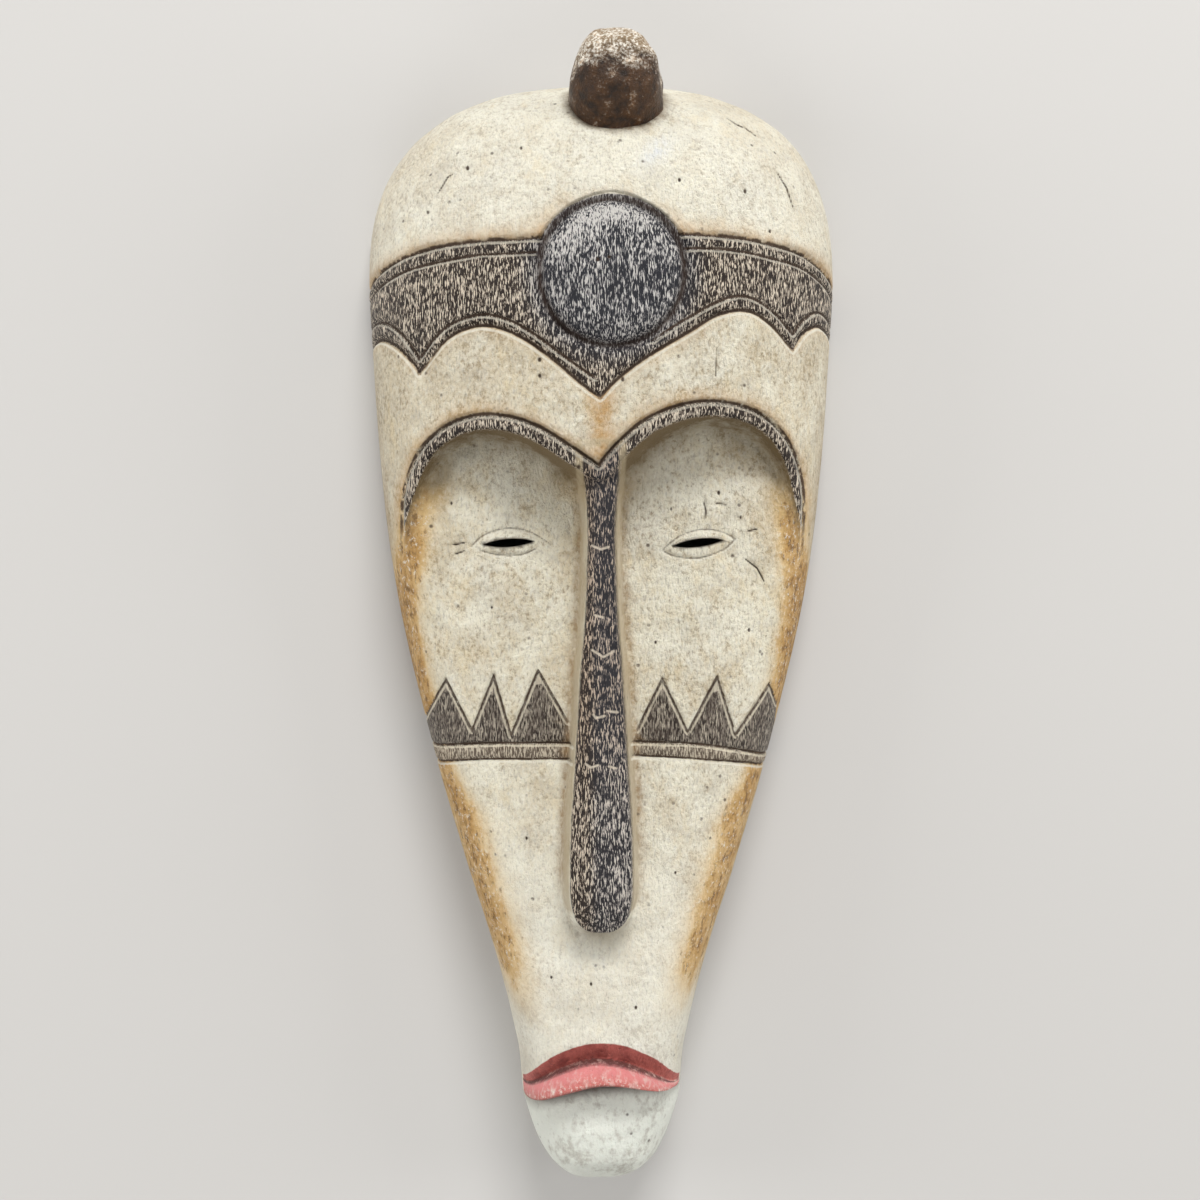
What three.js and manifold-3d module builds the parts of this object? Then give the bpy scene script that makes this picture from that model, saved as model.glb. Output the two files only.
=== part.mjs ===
// A carved wooden face mask, in millimetres. It lies on the flat rim of its back, face up:
// +Z is the way the face looks, +Y runs from the chin to the crown and +X to the right.
// The block is one piece of light wood: a long convex shell with a domed forehead, a knob on
// the crown, a hollowed heart-shaped face, a long nose, slit eyes, a wide mouth and a chin.
import * as THREE from 'three';
import { mergeVertices } from 'three/addons/utils/BufferGeometryUtils.js';
import Module from 'manifold-3d';

const wasm = await Module();
wasm.setup();

// Driving sizes of the block
const FACE_LENGTH = 705; // chin to crown, without the knob
const FACE_WIDTH = 303.4; // across the temples
const FACE_DEPTH = 118; // back rim to the highest part of the forehead
const WALL = 20; // thickness left between the carved front and the hollow
const RIM = 19; // width of the flat rim along the sides
const RIM_END = 22; // and at the crown and the chin

// Sizes of the carved details
const GROOVE_WIDTH = 3.6;
const GROOVE_DEPTH = 2.2;
const FINE_GROOVE_WIDTH = 2.8;
const FINE_GROOVE_DEPTH = 1.6;
const BAND_EDGE = 8.4; // strip between the two lines along the top of the head band
const SCALLOP_EDGE = 7; // strip between the two lines along its scallops
const DISC_RADIUS = 40;
const DISC_HEIGHT = 9;
const MOAT_WIDTH = 5;
const MOAT_DEPTH = 3.2;
const BROW_WIDTH = 8.5; // the roll under each brow line
const BROW_RISE = 1.8;
const SOCKET_SLOPE = 6; // how far the socket's wall leans in on its way down
const NOSE_SLOPE = 4.5; // and how far the nose's side wall leans out
const NOSE_EDGE = 1.6; // the nose's face falls this much from its middle to its edges
const EYE_LENGTH = 45;
const EYE_HEIGHT = 16;
const SLIT_LENGTH = 31;
const SLIT_HEIGHT = 5;
const LIP_DEPTH = 7; // how far the upper lip is cut back at the mouth line
const LIP_RISE = 5; // how far the lower lip's roll stands out
const CHIN_STEP = 8; // how far the chin falls back under the lower lip
const KNOB_WIDTH = 57;
const KNOB_THICKNESS = 58;
const KNOB_LENGTH = 84; // the lower half of it is inside the block
const KNOB_LEAN = 45; // degrees that it leans forward from the way the crown points
const KNOB_ABOVE_BACK = 70; // height of its middle
const HANGING_HOLE_WIDTH = 9; // a blind hole for a nail in the rim at the crown
const HANGING_HOLE_DEPTH = 22;

// How finely the surfaces are cut into facets
const ROWS = 36;
const COLUMNS = 22;
const LINE_STEP = 14; // length of a facet along an incised line

// The carver's proportions. Across is in percent of half the width, up in percent of the length
// from the chin, and depth in percent of the depth.
const OUTLINE = [
  [7.5, 34.9], [12.4, 37.2], [21, 47.2], [29.6, 60], [39.2, 72.8], [53.3, 88], [67.2, 95.8], [81.2, 100],
];
const CREST = [
  [7.5, 79], [13.5, 81.5], [21, 82.5], [37, 83], [45, 84], [53, 86.5], [58.5, 90], [63.5, 93.5],
  [69, 97.5], [77, 100],
];
const RECESS = [
  [9, 0], [14, 1.7], [22, 4.7], [30, 7.6], [37, 10.6], [45, 14.8], [53, 19.5], [58.5, 23], [63.5, 24.2],
  [70, 24.6],
];
const CROWN_LEAN = 3; // the crown's arch leans this far to the right at its top, in percent
const RECESS_REACH = 0.95; // share of the half width where the face's hollow ends
const CHEEK_TOP = 62.5; // above this the hollow is bounded by the brows
const CHEEK_FULL = 57; // below this it runs out to the cheeks

const BAND_TOP = [
  [-100, 81.4], [-99.6, 81.5], [-98, 81.7], [-94, 82.1], [-87.6, 82.5], [-75.5, 83.1], [-62.5, 83.4],
  [-46.3, 83.5], [-26, 83.5], [0, 83.6], [33.8, 83.9], [49.5, 83.9], [65.9, 83.7], [79.2, 83.4],
  [89.3, 82.7], [94, 82.2], [98, 81.7], [99.6, 81.4], [100, 81.3],
];
const SCALLOPS = [
  [[-100, 75.2], [-99.3, 75.8], [-96.8, 76.4], [-90.5, 76.5], [-83, 75.6], [-75.9, 74.2], [-71.9, 73]],
  [[-71.9, 73], [-67, 74.2], [-59.3, 75.7], [-51.1, 76.4], [-44, 76.5], [-34.6, 75.9], [-25.1, 74.7],
    [-15.6, 73.1], [-8, 71.7], [-0.4, 70.5]],
  [[-0.4, 70.5], [5.3, 71.8], [14.8, 73.4], [24.3, 74.7], [33.8, 75.9], [43.5, 77.2], [52.6, 77.8],
    [59.6, 77.7], [68.1, 76.7], [76.3, 75.1]],
  [[76.3, 75.1], [81.9, 76.7], [88.6, 77.6], [95.3, 77.3], [98.8, 76.7], [100, 76]],
];
const DISC_AT = [4.1, 80.7];
const BROW_LEFT = [
  [-81.5, 59], [-80.9, 60.8], [-80, 62.5], [-77.3, 64.4], [-72.5, 66.3], [-65.9, 67.7], [-57.9, 68.7],
  [-48.5, 69.2], [-40.6, 69.2], [-31, 68.8], [-21.4, 67.9], [-11.9, 66.6], [-4.2, 65.5], [-0.8, 65],
];
const BROW_RIGHT = [
  [-0.8, 65], [2.7, 66], [9.1, 67.4], [16.7, 68.7], [25.5, 69.6], [35.9, 70.2], [46.5, 70.3],
  [57, 69.9], [66.2, 69], [73.4, 67.6], [78.6, 65.8], [81.8, 63.8], [82.8, 61.6], [82.9, 59],
];
const NOSE_HALF_WIDTH = [
  [30, 12.1], [34, 11.8], [39.4, 10.3], [45, 8.8], [48, 7.9], [52, 6.3], [56.3, 5.5], [60.5, 5.3], [64.5, 6.6],
];
const NOSE_HEIGHT = [
  [25, 94], [28, 96.5], [33, 96.5], [40, 94.5], [50, 91], [58, 90.5], [66, 92],
];
const NOSE_TIP = 25.5;
const NOSE_ROUND = 30; // below this the nose's outline turns in to its round tip
const NOSE_ROOT = 66.5;
const EYES = [[-37, 58.6, 4], [39, 58.6, 7]]; // across, up, and the tilt in degrees
const ZIGZAG_LEFT = [
  [-78.1, 41.5], [-63.2, 46.6], [-52.5, 42.2], [-43.3, 47.1], [-36.3, 41.9], [-25.3, 47.6], [-13.3, 43.1],
];
const ZIGZAG_RIGHT = [
  [14.5, 42.4], [24.7, 46.9], [35, 42.2], [47, 47], [54.7, 41.8], [69.6, 46.1], [73.8, 44],
];
const LINES = [
  [[-76, 40.5], [-40, 41.2], [-12, 41.3]], [[-74, 39], [-40, 39.8], [-12, 39.9]],
  [[12.9, 41.4], [40, 41.1], [76, 39.9]], [[12.9, 40.1], [40, 39.8], [73, 38.6]],
];
const MOUTH_UP = 13.7; // the mouth line at its middle
const MOUTH_SAG = 4.4; // and how much lower it is at the corners
const MOUTH_REACH = 0.93; // share of the half width where its corners are
const MOUTH_TILT = 0.5; // the right corner is this much higher than the middle would have it
const UPPER_LIP_UP = 1.7; // thickness of the upper lip, in percent of the length
const LOWER_LIP_UP = 2.1;
const KNOB_ACROSS = 6;
const KNOB_UP = 96.3;

const WOOD = new THREE.MeshStandardMaterial({ color: 0xcdbb94, roughness: 0.85, metalness: 0 });

const clamp = THREE.MathUtils.clamp;
const smoothstep = THREE.MathUtils.smoothstep;

// A smooth curve through [place, value] stations: cubic pieces with the slopes of their neighbours.
function smoothThrough(stations, place) {
  const last = stations.length - 1;
  const slope = (i) => {
    const [a, b] = [stations[Math.max(i - 1, 0)], stations[Math.min(i + 1, last)]];
    return (b[1] - a[1]) / (b[0] - a[0]);
  };
  const x = clamp(place, stations[0][0], stations[last][0]);
  let i = 0;
  while (i < last - 1 && x >= stations[i + 1][0]) i += 1;
  const [x0, v0] = stations[i];
  const [x1, v1] = stations[i + 1];
  const h = x1 - x0;
  const t = (x - x0) / h;
  const s = 1 - t;
  return v0 * (1 + 2 * t) * s * s + slope(i) * h * t * s * s
    + v1 * t * t * (3 - 2 * t) - slope(i + 1) * h * t * t * s;
}

const across = (percent) => (percent / 100) * (FACE_WIDTH / 2);
const up = (percent) => (percent / 100) * FACE_LENGTH;
const percentUp = (y) => (y / FACE_LENGTH) * 100;

// A rounded end: 1 at the start, 0 at the end, along a superellipse.
const roundEnd = (share, power, root) => (1 - clamp(share, 0, 1) ** power) ** (1 / root);

// Half the width at a height y above the chin.
function halfWidth(y) {
  const u = percentUp(y);
  const [chinTop, chinWidth] = OUTLINE[0];
  const crownStart = OUTLINE.at(-1)[0];
  const chin = clamp((chinTop - u) / chinTop, 0, 1);
  if (chin > 0) return across(chinWidth * (1 - 0.3 * chin) * roundEnd(chin, 3, 2.4));
  if (u > crownStart) return across(100 * roundEnd((u - crownStart) / (100 - crownStart), 2.7, 2.7));
  return across(smoothThrough(OUTLINE, u));
}

// The middle of the block at that height, which leans a little to the right at the crown.
function middle(y) {
  const crownStart = OUTLINE.at(-1)[0];
  return across(CROWN_LEAN) * clamp((percentUp(y) - crownStart) / (100 - crownStart), 0, 1) ** 4;
}

// Height of the block's middle line above the back rim.
function crest(y) {
  const u = percentUp(y);
  const [chinTop, chinHeight] = CREST[0];
  const domeStart = CREST.at(-1)[0];
  const chin = clamp((chinTop - u) / chinTop, 0, 1);
  let share = smoothThrough(CREST, u);
  if (chin > 0) share = chinHeight * (1 - 0.12 * chin) * roundEnd(chin, 3.2, 2.6);
  if (u > domeStart) share = 100 * roundEnd((u - domeStart) / (100 - domeStart), 2.4, 2.2);
  return (share / 100) * FACE_DEPTH;
}

// How far the face is hollowed below the block's own curve, with t the share of the half width.
function recess(t, y) {
  const fall = 1 - clamp(Math.abs(t) / RECESS_REACH, 0, 1) ** 3;
  return (smoothThrough(RECESS, percentUp(y)) / 100) * FACE_DEPTH * fall ** 1.2;
}

// Height of the block's section: round over the forehead and flatter over the face.
function section(t, y) {
  const forehead = smoothstep(percentUp(y), 60, 75);
  const power = 3.2 - 0.8 * forehead;
  const root = 2.2 - 0.2 * forehead;
  return crest(y) * roundEnd(Math.abs(t), power, root);
}

// A point of the carved front at an angle from the middle line: hollow is 0 on the block's own
// curve and 1 on the floor of the face.
function skinPoint(angle, y, hollow = 0) {
  const t = Math.sin(angle);
  const z = section(t, y) - hollow * recess(t, y);
  return new THREE.Vector3(middle(y) + halfWidth(y) * t, y, z);
}

const angleAt = (x, y) => Math.asin(clamp((x - middle(y)) / halfWidth(y), -0.999, 0.999));
const cheeks = (y) => 1 - smoothstep(percentUp(y), CHEEK_FULL, CHEEK_TOP);

function skinNormal(angle, y, hollow) {
  const step = 0.01;
  const a = skinPoint(angle + step, y, hollow).sub(skinPoint(angle - step, y, hollow));
  const b = skinPoint(angle, y + 1, hollow).sub(skinPoint(angle, y - 1, hollow));
  return a.cross(b).normalize();
}

// A closed solid from a list of rings, each a list of points, with flat caps on the first and last.
function loft(rings) {
  const count = rings[0].length;
  const positions = rings.flat().flatMap((p) => [p.x, p.y, p.z]);
  const index = [];
  for (let r = 0; r < rings.length - 1; r += 1) {
    for (let i = 0; i < count; i += 1) {
      const [a, b] = [r * count + i, r * count + ((i + 1) % count)];
      index.push(a, b, b + count, a, b + count, a + count);
    }
  }
  const cap = (start, flip) => {
    const ring = rings[start / count];
    const away = ring[1].clone().sub(ring[0]);
    let normal = new THREE.Vector3();
    for (let i = 2; i < count; i += 1) normal.add(away.clone().cross(ring[i].clone().sub(ring[0])));
    normal = normal.normalize();
    const right = away.normalize();
    const forward = normal.cross(right);
    const flat = ring.map((p) => new THREE.Vector2(p.dot(right), p.dot(forward)));
    const clockwise = THREE.ShapeUtils.isClockWise(flat);
    for (const [a, b, c] of THREE.ShapeUtils.triangulateShape(flat, [])) {
      if (clockwise === flip) index.push(start + a, start + b, start + c);
      else index.push(start + a, start + c, start + b);
    }
  };
  cap(0, true);
  cap((rings.length - 1) * count, false);
  return solidOf(positions, index);
}

function solidOf(positions, index) {
  const geometry = new THREE.BufferGeometry();
  geometry.setAttribute('position', new THREE.Float32BufferAttribute(positions, 3));
  geometry.setIndex(index);
  return solidOfGeometry(geometry);
}

// A three.js geometry as a manifold-3d solid, turned right side out.
function solidOfGeometry(geometry) {
  geometry.deleteAttribute('normal');
  geometry.deleteAttribute('uv');
  const merged = mergeVertices(geometry, 1e-4);
  const made = (triVerts) => new wasm.Manifold(new wasm.Mesh({
    numProp: 3, vertProperties: new Float32Array(merged.attributes.position.array), triVerts,
  }));
  const corners = new Uint32Array(merged.index.array);
  const solid = made(corners);
  return solid.volume() >= 0 ? solid : made(corners.toReversed());
}

// A solid between a grid of points and the flat plane at the given height. The grid's rows run from
// the chin to the crown and its columns from left to right.
function blockUnder(grid, height) {
  const rows = grid.length;
  const columns = grid[0].length;
  const rim = [
    ...spread(columns - 2, 0, columns - 2),
    ...spread(rows - 2, 0, rows - 2).map((r) => r * columns + columns - 1),
    ...spread(columns - 2, columns - 1, 1).map((c) => (rows - 1) * columns + c),
    ...spread(rows - 2, rows - 1, 1).map((r) => r * columns),
  ];
  const top = grid.flat();
  const foot = rim.map((i) => new THREE.Vector3(top[i].x, top[i].y, height));
  const positions = [...top, ...foot].flatMap((p) => [p.x, p.y, p.z]);
  const index = [];
  for (let r = 0; r < rows - 1; r += 1) {
    for (let c = 0; c < columns - 1; c += 1) {
      const a = r * columns + c;
      index.push(a, a + 1, a + columns + 1, a, a + columns + 1, a + columns);
    }
  }
  rim.forEach((a, i) => {
    const next = (i + 1) % rim.length;
    index.push(a, top.length + i, top.length + next, a, top.length + next, rim[next]);
  });
  const outline = foot.map((p) => new THREE.Vector2(p.x, p.y));
  for (const [a, b, c] of THREE.ShapeUtils.triangulateShape(outline, [])) {
    index.push(top.length + c, top.length + b, top.length + a);
  }
  return solidOf(positions, index);
}

// A section carried along a line on the carved front. The line is a list of [across, up], the section
// a list of [to the left, out], both in millimetres.
function alongSkin(line, outline, hollow) {
  const points = line.map(([x, y]) => skinPoint(angleAt(x, y), y, hollow));
  const rings = line.map(([x, y], i) => {
    const out = skinNormal(angleAt(x, y), y, hollow);
    const ahead = points[Math.min(i + 1, line.length - 1)].clone().sub(points[Math.max(i - 1, 0)]);
    const left = out.clone().cross(ahead).normalize();
    return outline(i / (line.length - 1)).map(([side, rise]) => (
      points[i].clone().addScaledVector(left, side).addScaledVector(out, rise)));
  });
  return loft(rings);
}

// The nearest place to [x, y] that is still on the front or the side of the block.
function onBlock(x, y) {
  const reach = halfWidth(y) * (percentUp(y) > CHEEK_TOP ? 0.998 : 0.985);
  return [clamp(x, middle(y) - reach, middle(y) + reach), y];
}

// A line of [across, up] percentages as points in millimetres, with steps of about the given length.
function carvedLine(percents, step = LINE_STEP) {
  const corners = percents.map(([x, u]) => new THREE.Vector3(middle(up(u)) + across(x), up(u), 0));
  const curve = new THREE.CatmullRomCurve3(corners, false, 'centripetal');
  const count = Math.max(2, Math.round(curve.getLength() / step));
  return curve.getSpacedPoints(count).map((p) => onBlock(p.x, p.y));
}

// The outline of a V-shaped groove whose sides reach above the surface, so that it cuts clean.
function groove(width, depth) {
  const above = 3;
  const spread = (width / 2) * (1 + above / depth);
  return () => [[-spread, above], [spread, above], [0, -depth]];
}

// The same line moved to its left, without the points that come nearer than that to the others.
function beside(lines, distance) {
  const all = lines.flat();
  return lines.map((line) => line.map(([x, y], i) => {
    const [x0, y0] = line[Math.max(i - 1, 0)];
    const [x1, y1] = line[Math.min(i + 1, line.length - 1)];
    const length = Math.hypot(x1 - x0, y1 - y0);
    return [x - (distance * (y1 - y0)) / length, y + (distance * (x1 - x0)) / length];
  }).filter(([x, y]) => all.every(([a, b]) => Math.hypot(x - a, y - b) > distance * 0.97)));
}

const spread = (count, from, to) => Array.from({ length: count + 1 }, (_, i) => from + ((to - from) * i) / count);

// Rows crowd towards both ends, where the outline turns in.
const rowsBetween = (count, from, to) => spread(count, 0, Math.PI).map((a) => (
  from + (to - from) * (0.5 - 0.5 * Math.cos(a)) * 0.6 + (to - from) * (a / Math.PI) * 0.4));

function blank() {
  const angles = spread(COLUMNS, -Math.PI / 2, Math.PI / 2);
  const end = 0.4;
  const grid = rowsBetween(ROWS, end, FACE_LENGTH - end).map((y) => (
    angles.map((angle) => skinPoint(angle, y, cheeks(y)))));
  return blockUnder(grid, 0);
}

// The hollow behind the face: the block's own shape, smaller by the rim and the wall.
function hollowBehind() {
  const inner = (y) => ((y - RIM_END) * FACE_LENGTH) / (FACE_LENGTH - 2 * RIM_END);
  const angles = spread(14, -Math.PI / 2, Math.PI / 2);
  const grid = rowsBetween(20, RIM_END + 6, FACE_LENGTH - RIM_END - 4).map((y) => {
    const place = inner(y);
    const width = Math.max(halfWidth(place) - RIM, 2);
    const height = Math.max(crest(place) - recess(0, place) - WALL, 4);
    return angles.map((angle) => new THREE.Vector3(
      middle(place) + width * Math.sin(angle), y, height * roundEnd(Math.abs(Math.sin(angle)), 2.6, 2)));
  });
  return blockUnder(grid, -5);
}

// The two sockets: everything above the floor of the face inside the heart drawn by the brows.
function sockets() {
  const roll = BROW_WIDTH;
  const brow = [...carvedLine(BROW_LEFT), ...carvedLine(BROW_RIGHT).slice(1)];
  const low = up(CHEEK_FULL - 5);
  const side = 0.9;
  const heart = [
    [-side * halfWidth(low), low], ...brow, [side * halfWidth(low), low],
  ];
  const moved = (distance) => heart.map(([x, y], i) => {
    if (i === 0 || i === heart.length - 1) return [x, y];
    const [x0, y0] = heart[i - 1];
    const [x1, y1] = heart[i + 1];
    const length = Math.hypot(x1 - x0, y1 - y0);
    return [x + (distance * (y1 - y0)) / length, y - (distance * (x1 - x0)) / length];
  });
  const ring = (distance, z) => moved(distance).map(([x, y]) => new THREE.Vector3(x, y, z));
  const prism = loft([ring(roll + SOCKET_SLOPE, 30), ring(roll - 1, FACE_DEPTH + 5)]);
  const lift = 0.4; // below the brows the floor is already there, so the cut passes just above it
  const angles = spread(18, -1.25, 1.25);
  const grid = spread(12, up(50), up(72)).map((y) => angles.map((angle) => {
    const p = skinPoint(angle, y, 1);
    p.z += lift * cheeks(y);
    return p;
  }));
  return blockUnder(grid, FACE_DEPTH + 40).intersect(prism);
}

function browRolls() {
  return [BROW_LEFT, BROW_RIGHT].map((brow) => {
    const line = beside([carvedLine(brow)], -BROW_WIDTH / 2 - 0.5)[0];
    const arc = spread(3, 0, Math.PI);
    return alongSkin(line, (share) => {
      const tail = brow === BROW_LEFT ? share : 1 - share;
      const size = 0.25 + 0.75 * smoothstep(tail, 0, 0.3);
      const half = (BROW_WIDTH / 2) * size;
      return [...arc.map((a) => [half * Math.cos(a), BROW_RISE * size * Math.sin(a)]), [-half, -3], [half, -3]];
    }, 0);
  });
}

// The long nose: a ridge with a nearly flat face, leaning side walls and a round tip.
function nose() {
  const halfFace = (u) => across(u < NOSE_ROUND
    ? NOSE_HALF_WIDTH[0][1] * roundEnd((NOSE_ROUND - u) / (NOSE_ROUND - NOSE_TIP), 2.6, 2.6)
    : smoothThrough(NOSE_HALF_WIDTH, u));
  const tipRows = spread(7, 0, Math.PI / 2).map((a) => NOSE_TIP + (NOSE_ROUND - NOSE_TIP) * (1 - Math.cos(a)));
  const rows = [...tipRows, ...spread(16, NOSE_ROUND, NOSE_ROOT).slice(1)];
  const tipDrop = 5;
  return loft(rows.map((u) => {
    const y = up(u);
    const half = Math.max(halfFace(u), 4);
    const tip = clamp((NOSE_ROUND - u) / (NOSE_ROUND - NOSE_TIP), 0, 1) ** 2;
    const face = (smoothThrough(NOSE_HEIGHT, u) / 100) * FACE_DEPTH - tipDrop * tip;
    const base = section(0, y) - recess(0, y) - 12;
    const foot = half + NOSE_SLOPE;
    const lower = y - NOSE_SLOPE * tip;
    return [
      new THREE.Vector3(-foot - NOSE_SLOPE / 2, lower, base), new THREE.Vector3(-half - 0.8, y, face - NOSE_EDGE - 1.5),
      new THREE.Vector3(-half * 0.9, y, face - NOSE_EDGE * 0.7), new THREE.Vector3(0, y, face),
      new THREE.Vector3(half * 0.9, y, face - NOSE_EDGE * 0.7), new THREE.Vector3(half + 0.8, y, face - NOSE_EDGE - 1.5),
      new THREE.Vector3(foot + NOSE_SLOPE / 2, lower, base),
    ];
  }));
}

// A round patch on the forehead: rings of points at height rise(radius) over the block's curve.
function roundPatch(radii, rise, floor) {
  const [x0, y0] = [across(DISC_AT[0]) + middle(up(DISC_AT[1])), up(DISC_AT[1])];
  const turns = spread(24, 0, 2 * Math.PI).slice(0, -1);
  const point = (radius, turn, height) => {
    const [x, y] = [x0 + radius * Math.cos(turn), y0 + radius * Math.sin(turn)];
    return skinPoint(angleAt(x, y), y).add(new THREE.Vector3(0, 0, height));
  };
  const ring = (radius, height) => turns.map((turn) => point(radius, turn, height));
  return { ring, rings: radii.map((radius) => ring(radius, rise(radius))), under: ring(radii[0], floor) };
}

function disc() {
  const dome = (radius) => DISC_HEIGHT * (1 - (radius / DISC_RADIUS) ** 2) ** 0.8;
  const { rings, under } = roundPatch([DISC_RADIUS, 36, 29, 20, 10, 1].map((r) => (r * DISC_RADIUS) / 40), dome, -8);
  return loft([under, ...rings]);
}

function moat() {
  const inside = DISC_RADIUS - 0.5;
  const { ring } = roundPatch([inside], () => 0, 0);
  const outside = ring(inside + MOAT_WIDTH + 2, 1.5);
  const bottom = ring(inside + MOAT_WIDTH * 0.4, -MOAT_DEPTH);
  const top = ring(inside - 1, 1.5);
  const positions = [...outside, ...bottom, ...top].flatMap((p) => [p.x, p.y, p.z]);
  const count = outside.length;
  const index = [];
  for (let k = 0; k < 3; k += 1) {
    for (let i = 0; i < count; i += 1) {
      const next = (i + 1) % count;
      const [a, b] = [k * count, ((k + 1) % 3) * count];
      index.push(a + i, b + i, b + next, a + i, b + next, a + next);
    }
  }
  return solidOf(positions, index);
}

// The lens-shaped outline of an eye or its slit, as a list of points round it.
function lens(at, length, height, count) {
  const middle = new THREE.Vector2(across(at[0]), up(at[1]));
  const tilt = THREE.MathUtils.degToRad(at[2]);
  const half = spread(count, -1, 1);
  const bow = (s) => (height / 2) * (1 - s * s);
  const turned = (x, y) => new THREE.Vector2(x, y).rotateAround(new THREE.Vector2(), tilt).add(middle).toArray();
  return {
    upper: half.map((s) => turned((s * length) / 2, bow(s))),
    lower: half.map((s) => turned((s * length) / 2, -bow(s))),
  };
}

function eyeSlit(at) {
  const { upper, lower } = lens(at, SLIT_LENGTH, SLIT_HEIGHT, 6);
  const ring = [...lower, ...upper.slice(1, -1).reverse()];
  const level = (z) => ring.map(([x, y]) => new THREE.Vector3(x, y, z));
  return loft([level(5), level(FACE_DEPTH)]);
}

const lidLines = (at) => Object.values(lens(at, EYE_LENGTH, EYE_HEIGHT, 6));

// The mouth runs from one side of the block to the other, lower towards its corners.
function mouthLine(raised, sag) {
  return spread(16, -1, 1).map((s) => {
    const t = Math.sin((s * Math.PI) / 2);
    const u = MOUTH_UP + raised - sag * t * t + MOUTH_TILT * t;
    return [halfWidth(up(u)) * t * MOUTH_REACH, up(u)];
  });
}

// Fullness of the lips along the mouth: 1 in the middle, and the given share at the corners.
const fullness = (share, corner) => corner + (1 - corner) * (1 - Math.sin(Math.PI * (share - 0.5)) ** 4);

function upperLipCut() {
  return alongSkin(mouthLine(0, MOUTH_SAG), (share) => {
    const full = fullness(share, 0.35);
    const depth = LIP_DEPTH * full;
    return [[up(UPPER_LIP_UP) * 1.4 * full, 4 * full], [-1.5, 4 * full], [-0.5, -depth], [1, -depth]];
  }, 1);
}

// Under the lower lip the chin lies further back, and comes out to the block's curve at its tip.
function chinCut() {
  const angles = spread(12, -1.32, 1.32);
  const lift = 1.5; // the cut ends that far above the block's curve
  const grid = spread(7, 1, 0).map((share) => angles.map((angle) => {
    const t = Math.sin(angle) / MOUTH_REACH;
    const lip = MOUTH_UP - 0.8 * LOWER_LIP_UP - MOUTH_SAG * 0.57 * t * t + MOUTH_TILT * t;
    const y = up(lip) * (1 - share) + share * (1 + 3 * t * t);
    const p = skinPoint(angle, y);
    const edge = clamp(Math.max(Math.abs(t) ** 8, share ** 3), 0, 1);
    p.z += lift * edge - CHIN_STEP * (1 - edge);
    return p;
  }));
  return blockUnder(grid, FACE_DEPTH + 40);
}

function lowerLip() {
  const arc = spread(5, 0, Math.PI);
  return alongSkin(mouthLine(-LOWER_LIP_UP / 2, MOUTH_SAG * 0.8), (share) => {
    const half = (up(LOWER_LIP_UP) / 2) * fullness(share, 0.4);
    const rise = LIP_RISE * fullness(share, 0.2);
    return [...arc.map((a) => [half * Math.cos(a), rise * Math.sin(a) - 1]), [-half, -13], [half, -13]];
  }, 1);
}

// The knob on the crown: a stubby rounded block that leans forward over the forehead.
function knob() {
  const geometry = new THREE.SphereGeometry(1, 20, 12);
  const squared = (v) => Math.sign(v) * Math.abs(v) ** 0.84;
  const at = geometry.attributes.position;
  for (let i = 0; i < at.count; i += 1) {
    at.setXYZ(
      i,
      (squared(at.getX(i)) * KNOB_WIDTH) / 2,
      (squared(at.getY(i)) * KNOB_LENGTH) / 2,
      (squared(at.getZ(i)) * KNOB_THICKNESS) / 2,
    );
  }
  geometry.rotateX(THREE.MathUtils.degToRad(KNOB_LEAN));
  geometry.translate(across(KNOB_ACROSS), up(KNOB_UP), KNOB_ABOVE_BACK);
  return solidOfGeometry(geometry);
}

function hangingHole() {
  const geometry = new THREE.CylinderGeometry(HANGING_HOLE_WIDTH / 2, HANGING_HOLE_WIDTH / 2, HANGING_HOLE_DEPTH + 5, 20);
  geometry.rotateX(Math.PI / 2);
  geometry.translate(across(KNOB_ACROSS), FACE_LENGTH - RIM_END / 2, (HANGING_HOLE_DEPTH - 5) / 2);
  return solidOfGeometry(geometry);
}

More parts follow.
